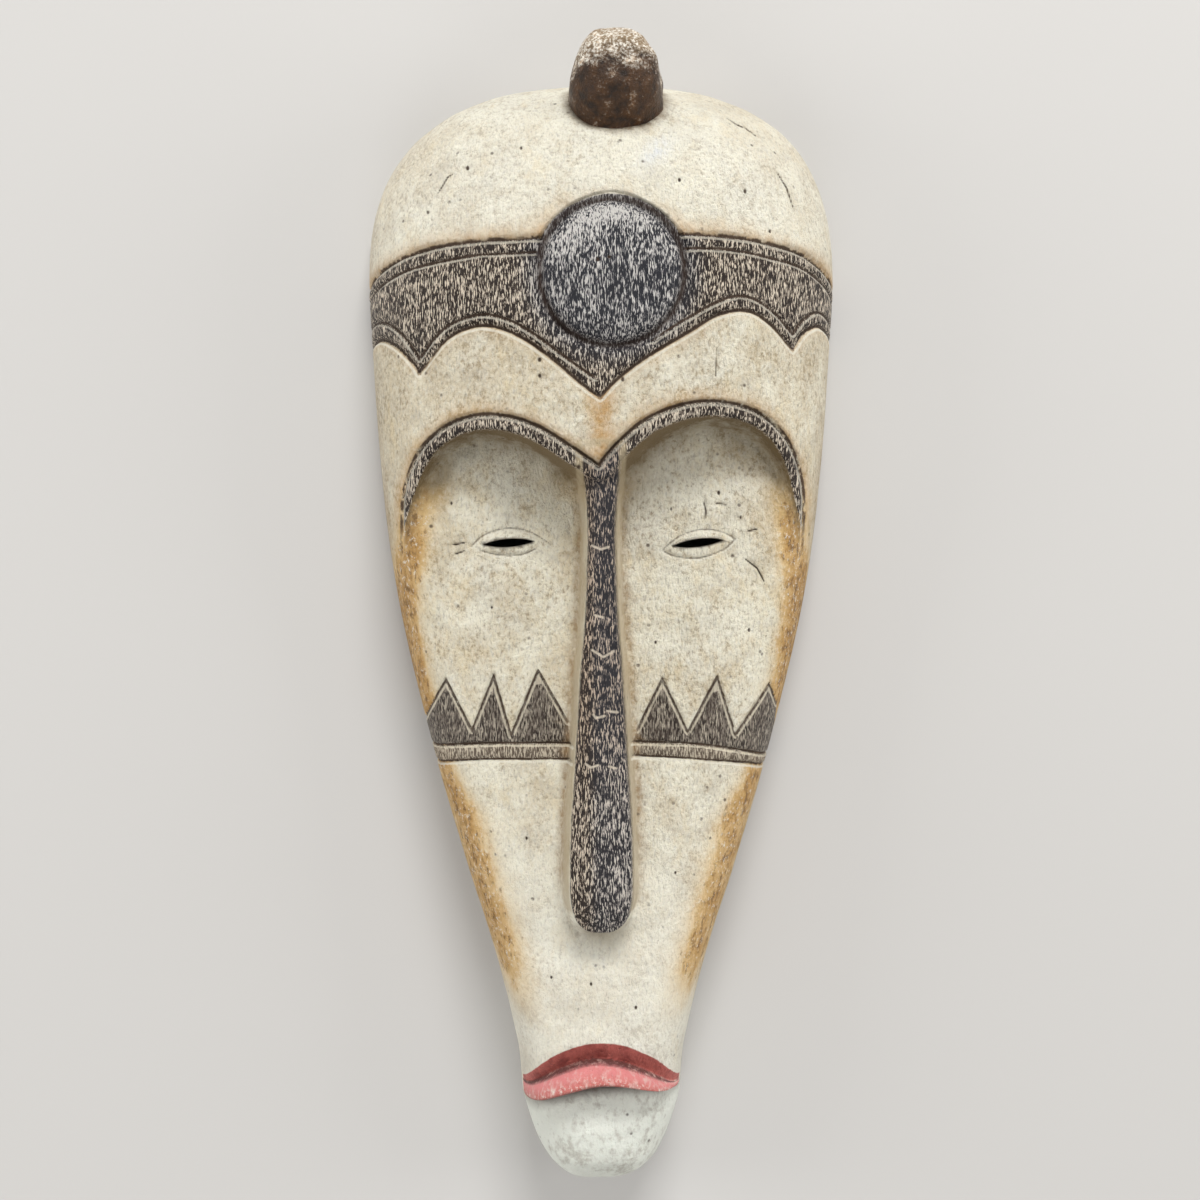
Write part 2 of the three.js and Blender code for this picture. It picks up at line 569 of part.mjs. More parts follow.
// Every incised line, with its section and whether it lies on the floor of the face.
function incisedLines() {
  const wide = groove(GROOVE_WIDTH, GROOVE_DEPTH);
  const fine = groove(FINE_GROOVE_WIDTH, FINE_GROOVE_DEPTH);
  const top = carvedLine(BAND_TOP);
  const scallops = SCALLOPS.map((arch) => carvedLine(arch));
  const clearOfDisc = ([x, y]) => (x < 0 || x > across(19)) && Math.abs(x) < halfWidth(y) * 0.99;
  const meetings = [SCALLOPS[1][0], SCALLOPS[3][0]].map(([x, u]) => [across(x), up(u) + SCALLOP_EDGE * 1.3]);
  const apart = (p, q) => Math.hypot(p[0] - q[0], p[1] - q[1]);
  const inner = beside(scallops, SCALLOP_EDGE).map((arch) => arch.filter((p) => (
    clearOfDisc(p) && meetings.every((meeting) => apart(p, meeting) > LINE_STEP * 0.6))));
  inner[0].push(meetings[0]);
  inner[1].unshift(meetings[0]);
  inner[2].push(meetings[1]);
  inner[3].unshift(meetings[1]);
  const sides = (corners) => corners.slice(1).map((end, i) => carvedLine([corners[i], end], 18));
  return [
    [top, wide, 0],
    [top, () => fine().map(([side, rise]) => [side - BAND_EDGE, rise]), 0],
    ...scallops.map((arch) => [arch, wide, 0]),
    ...inner.map((arch) => [arch, fine, 0]),
    [carvedLine(BROW_LEFT), wide, 0],
    [carvedLine(BROW_RIGHT), wide, 0],
    ...[...sides(ZIGZAG_LEFT), ...sides(ZIGZAG_RIGHT)].map((side) => [side, fine, 1]),
    ...LINES.map((line) => [carvedLine(line, 18), fine, 1]),
    ...EYES.flatMap(lidLines).map((lid) => [lid, fine, 1]),
  ];
}

function carve() {
  let mask = blank();
  mask = mask.subtract(sockets());
  for (const [line, outline, hollow] of incisedLines()) mask = mask.subtract(alongSkin(line, outline, hollow));
  for (const roll of browRolls()) mask = mask.add(roll);
  mask = mask.subtract(chinCut()).subtract(upperLipCut()).add(lowerLip());
  mask = mask.add(nose()).subtract(moat()).add(disc()).add(knob());
  mask = mask.subtract(hollowBehind());
  for (const eye of EYES) mask = mask.subtract(eyeSlit(eye));
  return mask.subtract(hangingHole());
}

// The finished solid as a mesh, moved so that the origin is under the middle of the whole mask.
function asMesh(solid, name, material) {
  const { vertProperties, triVerts } = solid.getMesh();
  const geometry = new THREE.BufferGeometry();
  geometry.setAttribute('position', new THREE.BufferAttribute(vertProperties, 3));
  geometry.setIndex(new THREE.BufferAttribute(triVerts, 1));
  geometry.computeBoundingBox();
  const { min, max } = geometry.boundingBox;
  const mesh = new THREE.Mesh(geometry, material);
  mesh.name = name;
  mesh.position.set(-(min.x + max.x) / 2, -(min.y + max.y) / 2, -min.z);
  return mesh;
}

const group = new THREE.Group();
group.add(asMesh(carve(), 'mask', WOOD));

export default group;
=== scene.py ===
import math

import bpy
import numpy as np
from mathutils.kdtree import KDTree
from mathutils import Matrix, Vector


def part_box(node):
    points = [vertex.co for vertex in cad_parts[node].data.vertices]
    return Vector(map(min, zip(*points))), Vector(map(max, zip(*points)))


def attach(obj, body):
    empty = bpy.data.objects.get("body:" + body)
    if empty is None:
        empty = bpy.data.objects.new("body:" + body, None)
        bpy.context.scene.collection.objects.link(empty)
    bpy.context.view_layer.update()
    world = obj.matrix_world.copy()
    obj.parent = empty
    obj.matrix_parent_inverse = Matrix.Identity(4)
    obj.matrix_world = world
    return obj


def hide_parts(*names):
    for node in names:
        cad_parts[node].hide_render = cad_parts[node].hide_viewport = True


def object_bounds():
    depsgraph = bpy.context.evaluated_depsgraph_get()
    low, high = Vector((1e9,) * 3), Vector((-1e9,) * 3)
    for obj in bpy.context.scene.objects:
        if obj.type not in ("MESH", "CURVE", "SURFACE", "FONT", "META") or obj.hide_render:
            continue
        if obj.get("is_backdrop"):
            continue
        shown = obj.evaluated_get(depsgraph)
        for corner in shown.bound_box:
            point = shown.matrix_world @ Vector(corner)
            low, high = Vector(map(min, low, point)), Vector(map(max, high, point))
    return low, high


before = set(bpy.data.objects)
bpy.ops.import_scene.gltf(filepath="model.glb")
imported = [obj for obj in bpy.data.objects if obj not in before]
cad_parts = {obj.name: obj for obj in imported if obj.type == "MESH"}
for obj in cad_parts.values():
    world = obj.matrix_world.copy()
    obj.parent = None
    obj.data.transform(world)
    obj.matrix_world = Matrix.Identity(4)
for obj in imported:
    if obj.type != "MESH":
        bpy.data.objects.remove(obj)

cad_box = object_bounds()

# The block
# One piece of light wood, split from a log and adzed to a long shell: a round forehead, flat
# cheeks that run down to a narrow muzzle, and a chin. It lies on the flat rim of its back.
MM = 0.001
low, high = (np.array(corner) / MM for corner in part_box("mask"))
CHIN_PAST_SOLID = 0.4
CHIN = low[1] - CHIN_PAST_SOLID
FACE_LENGTH = 705.0
HALF_WIDTH = (high[0] - low[0]) / 2
FACE_DEPTH = 118.0

# Across is in percent of the half width, up in percent of the length from the chin, and depth in
# percent of the depth. A rounding is the power and the root of a superellipse.
OUTLINE = [
    (7.5, 34.9), (12.4, 37.2), (21, 47.2), (29.6, 60), (39.2, 72.8), (53.3, 88), (67.2, 95.8),
    (81.2, 100),
]
CHIN_TAPER, CHIN_ROUNDING, CROWN_ROUNDING = 0.28, (3.4, 2.7), (2.7, 2.7)
CREST = [
    (7.5, 79), (13.5, 81.5), (21, 82.5), (37, 83), (45, 84), (53, 86.5), (58.5, 90), (63.5, 93.5),
    (69, 97.5), (77, 100),
]
HOLLOW = [
    (9, 0), (14, 1.7), (22, 4.7), (30, 7.6), (37, 10.6), (45, 14.8), (53, 19.5), (58.5, 23),
    (63.5, 24.2), (70, 24.6),
]
CHIN_DROP, CHIN_PROFILE, CROWN_PROFILE = 0.12, (3.2, 2.6), (2.4, 2.2)
CROWN_LEAN = 3
HOLLOW_REACH = 0.95


def smooth_through(stations, place):
    """A smooth curve through (place, value) stations. Between two of them it is the cubic that has
    their values, and at each the slope of the straight line between its two neighbours."""
    at, value = np.array(stations, float).T
    slope = np.empty(len(at))
    slope[1:-1] = (value[2:] - value[:-2]) / (at[2:] - at[:-2])
    slope[0] = (value[1] - value[0]) / (at[1] - at[0])
    slope[-1] = (value[-1] - value[-2]) / (at[-1] - at[-2])
    x = np.clip(np.asarray(place, float), at[0], at[-1])
    i = np.clip(np.searchsorted(at, x, side="right") - 1, 0, len(at) - 2)
    h = at[i + 1] - at[i]
    t = (x - at[i]) / h
    s = 1 - t
    return (value[i] * (1 + 2 * t) * s * s + slope[i] * h * t * s * s
            + value[i + 1] * t * t * (3 - 2 * t) - slope[i + 1] * h * t * t * s)


def unit(value):
    """Kept from 0 to 1."""
    return np.clip(value, 0, 1)


def ramp(value, start, end):
    """0 before start and 1 after end, with the cubic 3t² - 2t³ between them."""
    t = unit((value - start) / (end - start))
    return t * t * (3 - 2 * t)


def round_end(share, power, root):
    """A rounded end: (1 - share^power)^(1/root), 1 at share 0 and 0 at share 1."""
    return (1 - unit(share) ** power) ** (1 / root)


def across(percent):
    """Percent of the half width, in mm."""
    return np.asarray(percent, float) / 100 * HALF_WIDTH


def up(percent):
    """Percent of the length from the chin, in mm."""
    return np.asarray(percent, float) / 100 * FACE_LENGTH


def rise(y, start, end):
    """A ramp over the height, from start to end in percent of the length."""
    return ramp(y, up(start), up(end))


def percent_up(y):
    """A height in mm, in percent of the length from the chin."""
    return y / FACE_LENGTH * 100


def past_last(stations, y):
    """How far a height is past the last station, from 0 there to 1 at the crown."""
    last = stations[-1][0]
    return unit((percent_up(y) - last) / (100 - last))


def along_block(stations, y, taper, chin_rounding, crown_rounding):
    """A measure in percent: its stations, and a superellipse below the first and past the last. The
    lower one also shrinks evenly, by the taper."""
    first, value = stations[0]
    chin = unit((first - percent_up(y)) / first)
    return np.where(chin > 0, value * (1 - taper * chin) * round_end(chin, *chin_rounding),
                    smooth_through(stations, percent_up(y))
                    * round_end(past_last(stations, y), *crown_rounding))


def half_width(y):
    """Half the width at a height."""
    return across(along_block(OUTLINE, y, CHIN_TAPER, CHIN_ROUNDING, CROWN_ROUNDING))


def middle(y):
    """The block's middle line, which leans to the right at the crown by the fourth power."""
    return across(CROWN_LEAN) * past_last(OUTLINE, y) ** 4


def crest(y):
    """Height of the middle line over the back rim."""
    return along_block(CREST, y, CHIN_DROP, CHIN_PROFILE, CROWN_PROFILE) / 100 * FACE_DEPTH


def hollow_depth(t, y):
    """How far the face lies under the block's curve: stations, less (1 - t³)^1.2 towards the side
    t = 1."""
    fall = 1 - unit(np.abs(t) / HOLLOW_REACH) ** 3
    return smooth_through(HOLLOW, percent_up(y)) / 100 * FACE_DEPTH * fall ** 1.2


def section(t, y):
    """Height of the block at the share t of its half width: a superellipse with power 3.2 and root
    2.2, which get less, to 2.4 and 2, at the rounder forehead."""
    forehead = ramp(percent_up(y), 60, 75)
    power, root = 3.2 - 0.8 * forehead, 2.2 - 0.2 * forehead
    return crest(y) * (1 - unit(np.abs(t)) ** power) ** (1 / root)


# The drawing on the face
# The carver draws the head band, its scallops, the brows, the zigzags and the lids on the block and
# cuts them as lines with a V tool. They are lines of (across, up) percentages here.
BAND_TOP = [
    (-100, 81.4), (-99.6, 81.5), (-98, 81.7), (-94, 82.1), (-87.6, 82.5), (-75.5, 83.1), (-62.5, 83.4),
    (-46.3, 83.5), (-26, 83.5), (0, 83.6), (33.8, 83.9), (49.5, 83.9), (65.9, 83.7), (79.2, 83.4),
    (89.3, 82.7), (94, 82.2), (98, 81.7), (99.6, 81.4), (100, 81.3),
]
BAND_INNER = [
    (-100, 80.2), (-99.6, 80.3), (-98, 80.6), (-94, 80.9), (-87.6, 81.3), (-75.5, 81.8), (-62.5, 82.1),
    (-46.3, 82.3), (-26, 82.3), (0, 82.4), (33.8, 82.7), (49.5, 82.8), (65.9, 82.5), (79.2, 82.2),
    (89.3, 81.5), (94, 81), (98, 80.5), (99.6, 80.2), (100, 80.1),
]
SCALLOPS = [
    [(-100, 75.2), (-99.3, 75.8), (-96.8, 76.4), (-90.5, 76.5), (-83, 75.6), (-75.9, 74.2), (-71.9, 73)],
    [(-71.9, 73), (-67, 74.2), (-59.3, 75.7), (-51.1, 76.4), (-44, 76.5), (-34.6, 75.9), (-25.1, 74.7),
     (-15.6, 73.1), (-8, 71.7), (-0.4, 70.5)],
    [(-0.4, 70.5), (5.3, 71.8), (14.8, 73.4), (24.3, 74.7), (33.8, 75.9), (43.5, 77.2), (52.6, 77.8),
     (59.6, 77.7), (68.1, 76.7), (76.3, 75.1)],
    [(76.3, 75.1), (81.9, 76.7), (88.6, 77.6), (95.3, 77.3), (98.8, 76.7), (100, 76)],
]
SCALLOPS_INNER = [
    [(-100, 76.8), (-99.2, 77.5), (-97, 78.1), (-90.3, 78), (-82.8, 77.1), (-76.7, 75.7), (-71.8, 74.2)],
    [(-71.8, 74.2), (-66.9, 75.4), (-59.2, 76.7), (-51.1, 77.3), (-43.9, 77.4), (-34.6, 76.8),
     (-25, 75.6), (-15.6, 74.1), (-8, 72.9), (-2.2, 72.1)],
    [(19.7, 75.1), (24.2, 75.8), (33.8, 77.1), (43.5, 78.3), (52.6, 79), (60.4, 78.8), (68.9, 77.8),
     (76.2, 76.4)],
    [(76.2, 76.4), (81.8, 77.9), (88.5, 78.8), (94.9, 78.5), (98.8, 77.8), (100, 77.2)],
]
BROW_LEFT = [
    (-81.8, 57.5), (-81.5, 59), (-80.9, 60.8), (-80, 62.5), (-77.3, 64.4), (-72.5, 66.3), (-65.9, 67.7),
    (-57.9, 68.7), (-48.5, 69.2), (-40.6, 69.2), (-31, 68.8), (-21.4, 67.9), (-11.9, 66.6), (-4.2, 65.5),
    (-0.8, 65),
]
BROW_RIGHT = [
    (-0.8, 65), (2.7, 66), (9.1, 67.4), (16.7, 68.7), (25.5, 69.6), (35.9, 70.2), (46.5, 70.3),
    (57, 69.9), (66.2, 69), (73.4, 67.6), (78.6, 65.8), (81.8, 63.8), (82.8, 61.6), (82.9, 59),
    (82.8, 57.5),
]
CHEEKS = [(88, 52), (97, 40), (105, 20), (105, -5)]
ZIGZAG_LEFT = [
    (-78.1, 41.5), (-63.2, 46.6), (-52.5, 42.2), (-43.3, 47.1), (-36.3, 41.9), (-25.3, 47.6),
    (-13.3, 43.1),
]
ZIGZAG_RIGHT = [
    (14.5, 42.4), (24.7, 46.9), (35, 42.2), (47, 47), (54.7, 41.8), (69.6, 46.1), (73.8, 44),
]
LINES_LEFT = [
    [(-76, 40), (-60, 40.8), (-40, 41.2), (-12, 41.3)],
    [(-74, 38.3), (-60, 39.3), (-40, 39.8), (-12, 39.9)],
]
LINES_RIGHT = [
    [(12.9, 41.4), (40, 41.1), (60, 40.2), (74.7, 38.9)],
    [(12.9, 40.2), (40, 39.8), (60, 39.1), (72, 38)],
]
LEFT_LIDS = [
    [(-52, 58.3), (-48, 59.1), (-43, 59.6), (-37, 59.85), (-31, 59.7), (-25.5, 59.2), (-20, 58.4)],
    [(-48, 57.9), (-43, 57.6), (-37, 57.45), (-31, 57.6), (-26, 58.1)],
]
RIGHT_LIDS = [
    [(24.5, 57.9), (28.5, 58.7), (33, 59.3), (39, 59.7), (45, 59.7), (50, 59.4), (54, 58.9)],
    [(24.5, 57.9), (28.5, 57.5), (33, 57.3), (39, 57.25), (45, 57.6), (50, 58.1), (54, 58.9)],
]


def corners_of(percents):
    """The corners in mm, joined by straight lines."""
    return np.stack([across([p[0] for p in percents]), up([p[1] for p in percents])], axis=1)


def curve_through(percents, step=3.0):
    """Points every few mm on the smooth curve through the corners, each coordinate being a smooth
    function of the length along the straight lines between them."""
    corners = corners_of(percents)
    along = np.concatenate([[0], np.cumsum(np.hypot(*np.diff(corners, axis=0).T))])
    places = np.linspace(0, along[-1], max(3, int(along[-1] / step)))
    return np.stack([smooth_through(np.stack([along, c], axis=1), places) for c in corners.T], axis=1)


def beside(line, x, y, reach):
    """For each place: its distance to the line of points, that distance with a minus on the line's
    right, and how far along the line its nearest point is, from 0 to 1. Further than reach, it is reach."""
    near = np.full(x.shape, float(reach))
    side = np.full(x.shape, float(reach))
    along = np.zeros(x.shape)
    lengths = np.hypot(*np.diff(line, axis=0).T)
    start = 0.0
    for (x0, y0), (x1, y1), length in zip(line[:-1], line[1:], lengths):
        close = ((x > min(x0, x1) - reach) & (x < max(x0, x1) + reach)
                 & (y > min(y0, y1) - reach) & (y < max(y0, y1) + reach))
        k = np.nonzero(close)[0]
        px, py = x[k] - x0, y[k] - y0
        t = unit((px * (x1 - x0) + py * (y1 - y0)) / length**2)
        d = np.hypot(px - t * (x1 - x0), py - t * (y1 - y0))
        nearer = d < near[k]
        k, d, t, px, py = k[nearer], d[nearer], t[nearer], px[nearer], py[nearer]
        near[k] = d
        side[k] = np.where((x1 - x0) * py - (y1 - y0) * px >= 0, d, -d)
        along[k] = (start + t * length) / lengths.sum()
        start += length
    return near, side, along


def inside(outline, x, y, reach):
    """Distance to a closed outline, plus inside it and minus outside: a place is inside where a line
    from it to the right crosses the outline an odd number of times."""
    near = beside(np.vstack([outline, outline[:1]]), x, y, reach)[0]
    odd = np.zeros(x.shape, bool)
    for (x0, y0), (x1, y1) in zip(outline, np.roll(outline, -1, axis=0)):
        if y0 != y1:
            odd ^= ((y0 > y) != (y1 > y)) & (x < (x1 - x0) * (y - y0) / (y1 - y0) + x0)
    return np.where(odd, near, -near)


brow_left, brow_right = curve_through(BROW_LEFT), curve_through(BROW_RIGHT)
cheek = corners_of(CHEEKS)
heart = np.vstack([cheek[::-1] * [-1, 1], brow_left, brow_right[1:], cheek])
band = np.vstack([curve_through(BAND_TOP)] + [curve_through(arch)[::-1] for arch in SCALLOPS[::-1]])

# The nose, the eyes and the mouth
# The nose is a long ridge left standing between the sockets, with a nearly flat face and a broad
# round tip. The eyes are slits cut through, and the mouth is a step with a full lower lip.
NOSE_HALF_WIDTH = [
    (30, 12.1), (34, 11.8), (39.4, 10.3), (45, 8.8), (48, 7.9), (52, 6.3), (56.3, 5.5), (60.5, 5.3),
    (64.5, 6.6),
]
NOSE_HEIGHT = [(25, 94), (28, 96.5), (33, 96.5), (40, 94.5), (50, 91), (58, 90.5), (66, 92)]
NOSE_TIP, NOSE_ROUND, NOSE_ROOT, NOSE_WIDEST = 25.5, 30.0, 66.5, 12
NOSE_TIP_ROUNDING = (2.6, 2.6)
NOSE_SLOPE = 4.6
NOSE_SLOPE_LOW_LEFT = 2.2
NOSE_EDGE, NOSE_TIP_DROP = 1.4, 5
EYES = [(-37, 58.6, 4), (39, 58.6, 7)]
SLIT_LENGTH, SLIT_HEIGHT = 31.0, 5.0
LID_WIDTH, LID_HEIGHT, LID_RISE = 23, 9, 1.3
MOUTH_UP, MOUTH_SAG, MOUTH_TILT, MOUTH_REACH = 13.7, 4.4, 0.5, 0.93
UPPER_LIP_UP, LOWER_LIP_UP = 1.7, 2.1
LIP_DEPTH, LIP_RISE, CHIN_STEP = 7.0, 4.0, 8.0
DISC_AT, DISC_RADIUS, DISC_HEIGHT = (4.1, 80.7), 40.0, 9.0
MOAT_DEPTH, MOAT_BANK = 3.0, 1.0
BROW_WIDTH, BROW_RISE, SOCKET_SLOPE = 8.0, 1.8, 7.0


def from_disc(x, y):
    """Distance from the middle of the boss."""
    return np.hypot(x - across(DISC_AT[0]), y - up(DISC_AT[1]))


def nose_outline():
    """The outline of the nose's face: its half width on both sides, and a superellipse round the tip."""
    turn = np.linspace(0, np.pi / 2, 14)
    tip = NOSE_TIP + (NOSE_ROUND - NOSE_TIP) * (1 - np.cos(turn))
    u = np.concatenate([tip, np.linspace(NOSE_ROUND, NOSE_ROOT, 40)[1:]])
    end = round_end((NOSE_ROUND - u) / (NOSE_ROUND - NOSE_TIP), *NOSE_TIP_ROUNDING)
    right = np.stack([across(smooth_through(NOSE_HALF_WIDTH, u) * end), up(u)], axis=1)
    return np.vstack([right, right[:0:-1] * [-1, 1]])


def fullness(t, corner):
    """How full the lips are along the mouth: 1 in the middle, falling with t⁴ to a share at the corners."""
    return corner + (1 - corner) * (1 - unit(np.abs(t) / MOUTH_REACH) ** 4)


def mouth_lines(t):
    """Heights of the upper lip's top edge, the mouth line and the lower lip's bottom edge: arches in t²."""
    s = t / MOUTH_REACH
    line = MOUTH_UP - MOUTH_SAG * s * s + 0.2 * MOUTH_TILT * s
    top = line + UPPER_LIP_UP * (0.35 + 0.65 * (1 - s**4))
    bottom = MOUTH_UP - LOWER_LIP_UP - 0.25 - 0.6 * MOUTH_SAG * s * s + 1.7 * MOUTH_TILT * s
    return up(top), up(line), up(np.minimum(bottom, line - 0.25))


def mouth_relief(t, y):
    """How far the mouth stands out of the muzzle. The upper lip slopes in to the mouth line, the lower
    lip is half a superellipse standing between there and the chin, and the chin lies further back."""
    top, line, bottom = mouth_lines(t)
    full = fullness(t, 0.3)
    upper = -LIP_DEPTH * full * unit((top - y) / np.maximum(top - line, 1)) ** 0.9
    q = unit((line - y) / np.maximum(line - bottom, 1))
    base = -LIP_DEPTH * 0.9 * (1 - q) ** 1.5 - CHIN_STEP * ramp(q, 0.6, 1)
    roll = full * (base + (LIP_RISE + LIP_DEPTH) * (1 - np.abs(2 * q - 0.85) ** 2.6 / 1.4).clip(0) ** 0.6)
    chin = -CHIN_STEP * fullness(t, 0.15) * (1 - ramp((bottom - y) / np.maximum(bottom, 1), 0.2, 0.95))
    step = ramp(y, bottom - 1.2, bottom + 0.4)
    lower = chin * (1 - step) + roll * step
    lip = ramp(y, line - 0.5, line + 0.5)
    side = 1 - ramp(np.abs(t), MOUTH_REACH, 0.985)
    return (lower * (1 - lip) + upper * lip) * side


def eye_bulge(x, y):
    """The lids stand out a little as a lens: 1 in the middle of an eye and 0 at its edge."""
    bulge = np.zeros(x.shape)
    for eye_across, eye_up, _ in EYES:
        r = ((x - across(eye_across)) / LID_WIDTH) ** 2 + ((y - up(eye_up)) / LID_HEIGHT) ** 2
        bulge += unit(1 - r)
    return bulge


nose_edge = nose_outline()

# The hand's unevenness
# An adze and a knife leave the wood slightly wavy, with flats a finger wide, and no line runs true.


def waves(x, y, size, count, seed):
    """Smooth unevenness between about -1 and 1: a sum of sines in directions drawn once."""
    draw = np.random.default_rng(seed)
    total = np.zeros(np.shape(x))
    for _ in range(count):
        turn, phase, stretch = draw.uniform(0, 2 * np.pi, 2).tolist() + [draw.uniform(0.6, 1.6)]
        total += np.sin((x * math.cos(turn) + y * math.sin(turn)) * 2 * np.pi / (size * stretch) + phase)
    return total / math.sqrt(count / 2) / 1.6


FLATS_WIDTH, FLATS_LENGTH = 340, 760


def flats(x, y, size, depth, seed):
    """Knife flats: each place belongs to the nearest of a scatter of points, and is raised with the
    difference between the distances to its two nearest points, as shallow facets with low ridges."""
    draw = np.random.default_rng(seed)
    half = FLATS_WIDTH / 2
    columns, rows = int(FLATS_WIDTH / size) + 3, int(FLATS_LENGTH / size) + 3
    jitter = draw.uniform(-0.38, 0.38, (2, rows, columns))
    gx = (np.floor(x / size) + half / size + 1).astype(int).clip(1, columns - 2)
    gy = (np.floor(y / size) + 1).astype(int).clip(1, rows - 2)
    first = np.full(np.shape(x), 1e9)
    second = np.full(np.shape(x), 1e9)
    for dx in (-1, 0, 1):
        for dy in (-1, 0, 1):
            cx, cy = gx + dx, gy + dy
            px = (cx - half / size - 0.5 + jitter[0][cy, cx]) * size
            py = (cy - 0.5 + jitter[1][cy, cx]) * size
            d = np.hypot(x - px, y - py)
            second = np.minimum(second, np.maximum(first, d))
            first = np.minimum(first, d)
    return -depth * np.clip((second - first) / size, 0, 0.6)


# A cut's width above its line and below it, its depth, and how much soot and painted shade lie in it.
# The brows' cut has its two widths, its depth, and the widths over which its soot and painted shade,
# and the painted highlight on its lower edge, lie.
BAND_CUT = (2.9, 1.9, 2.5, 1)
FINE_CUT = (2.3, 1.5, 1.8, 1)
LOW_CUT = (1.9, 1.5, 1.7, 1)
TOOTH_CUT = (1.5, 1.5, 1.5, 0.9)
LID_CUT = (1.4, 1.1, 1.0, 0.5)
BROW_CUT, BROW_DEPTH, BROW_MARK = (2.7, 1.8), 2.7, (2.9, 2.0)
CRACK_DEPTH, NICK_DEPTH, NICK_WIDTH, PIT_DEPTH = 1.5, 0.8, 1.2, 1.3
PITS = [
    (-23.3, 73.6, 1.7), (-23.3, 72.3, 1.5), (8.2, 72, 1.8), (-1.3, 81.4, 1.6), (3, 81.6, 1.4),
    (-8.5, 64.9, 1.5), (-52, 90, 1.8), (-31, 91.5, 1.3), (30, 88.5, 1.5), (56, 88, 1.7),
    (66, 84.8, 1.3), (-68, 86.5, 1.4), (47, 62.9, 1.6), (56, 60.8, 1.3), (28, 61.5, 1.2),
    (-60, 62, 1.3), (-44, 53, 1.2), (22, 50, 1.4), (60, 51, 1.5), (-30, 33, 1.3), (30, 30, 1.2),
    (-20, 21, 1.2), (14, 18.5, 1.4), (-4, 20.5, 1.3),
]
CRACKS = [
    [(50, 95.2), (54, 94.6), (58, 94.3), (62, 93.6)], [(70, 90.2), (74, 89), (77, 87.2)],
    [(41, 62.2), (42, 61.3), (41.5, 60.6)], [(46, 62), (50, 61.9)],
    [(58, 57.2), (63, 56.4), (66, 55.2)], [(59, 59.6), (63, 59.8)], [(-60, 58.4), (-55, 58.6)],
    [(-59, 57.6), (-55, 57.9)], [(44, 72.4), (44.5, 74.6)], [(-64, 88), (-60, 89.4), (-58, 89.6)],
]
NICKS = [
    [(-3.5, 58.4), (0, 58.1), (3, 58.3)], [(-2.5, 52.6), (1, 52.4)],
    [(-3.5, 49.7), (1, 49.1), (5, 49.6)], [(-3, 44.3), (-2, 44), (1.5, 44.2)],
    [(2.5, 44.6), (6.5, 44.5)], [(-6, 40.2), (-4, 39.9), (-1, 40.1)], [(3, 40), (6, 39.8)],
]


def v_cut(side, upper, lower):
    """A V cut: 1 on its line, falling evenly to 0 at one width above it and another below it."""
    return unit(1 - np.where(side >= 0, side / upper, -side / lower))


def settle(marks, side, upper, lower, soot_shade, edge_light):
    """Where this line is the nearest so far, its soot and painted shade, and the painted highlight on its
    lower edge, take over. The distances to its bottom and to its lower edge are in widths of the cut."""
    over = np.where(side >= 0, side / upper, side / lower)
    from_bottom, from_edge = np.abs(over - 0.1), np.abs(over + 1.05)
    marks["soot_and_shade"] = np.where(from_bottom < marks["to_bottom"], soot_shade, marks["soot_and_shade"])
    marks["lit_edge"] = np.where(from_edge < marks["to_edge"], edge_light, marks["lit_edge"])
    marks["to_bottom"] = np.minimum(marks["to_bottom"], from_bottom)
    marks["to_edge"] = np.minimum(marks["to_edge"], from_edge)


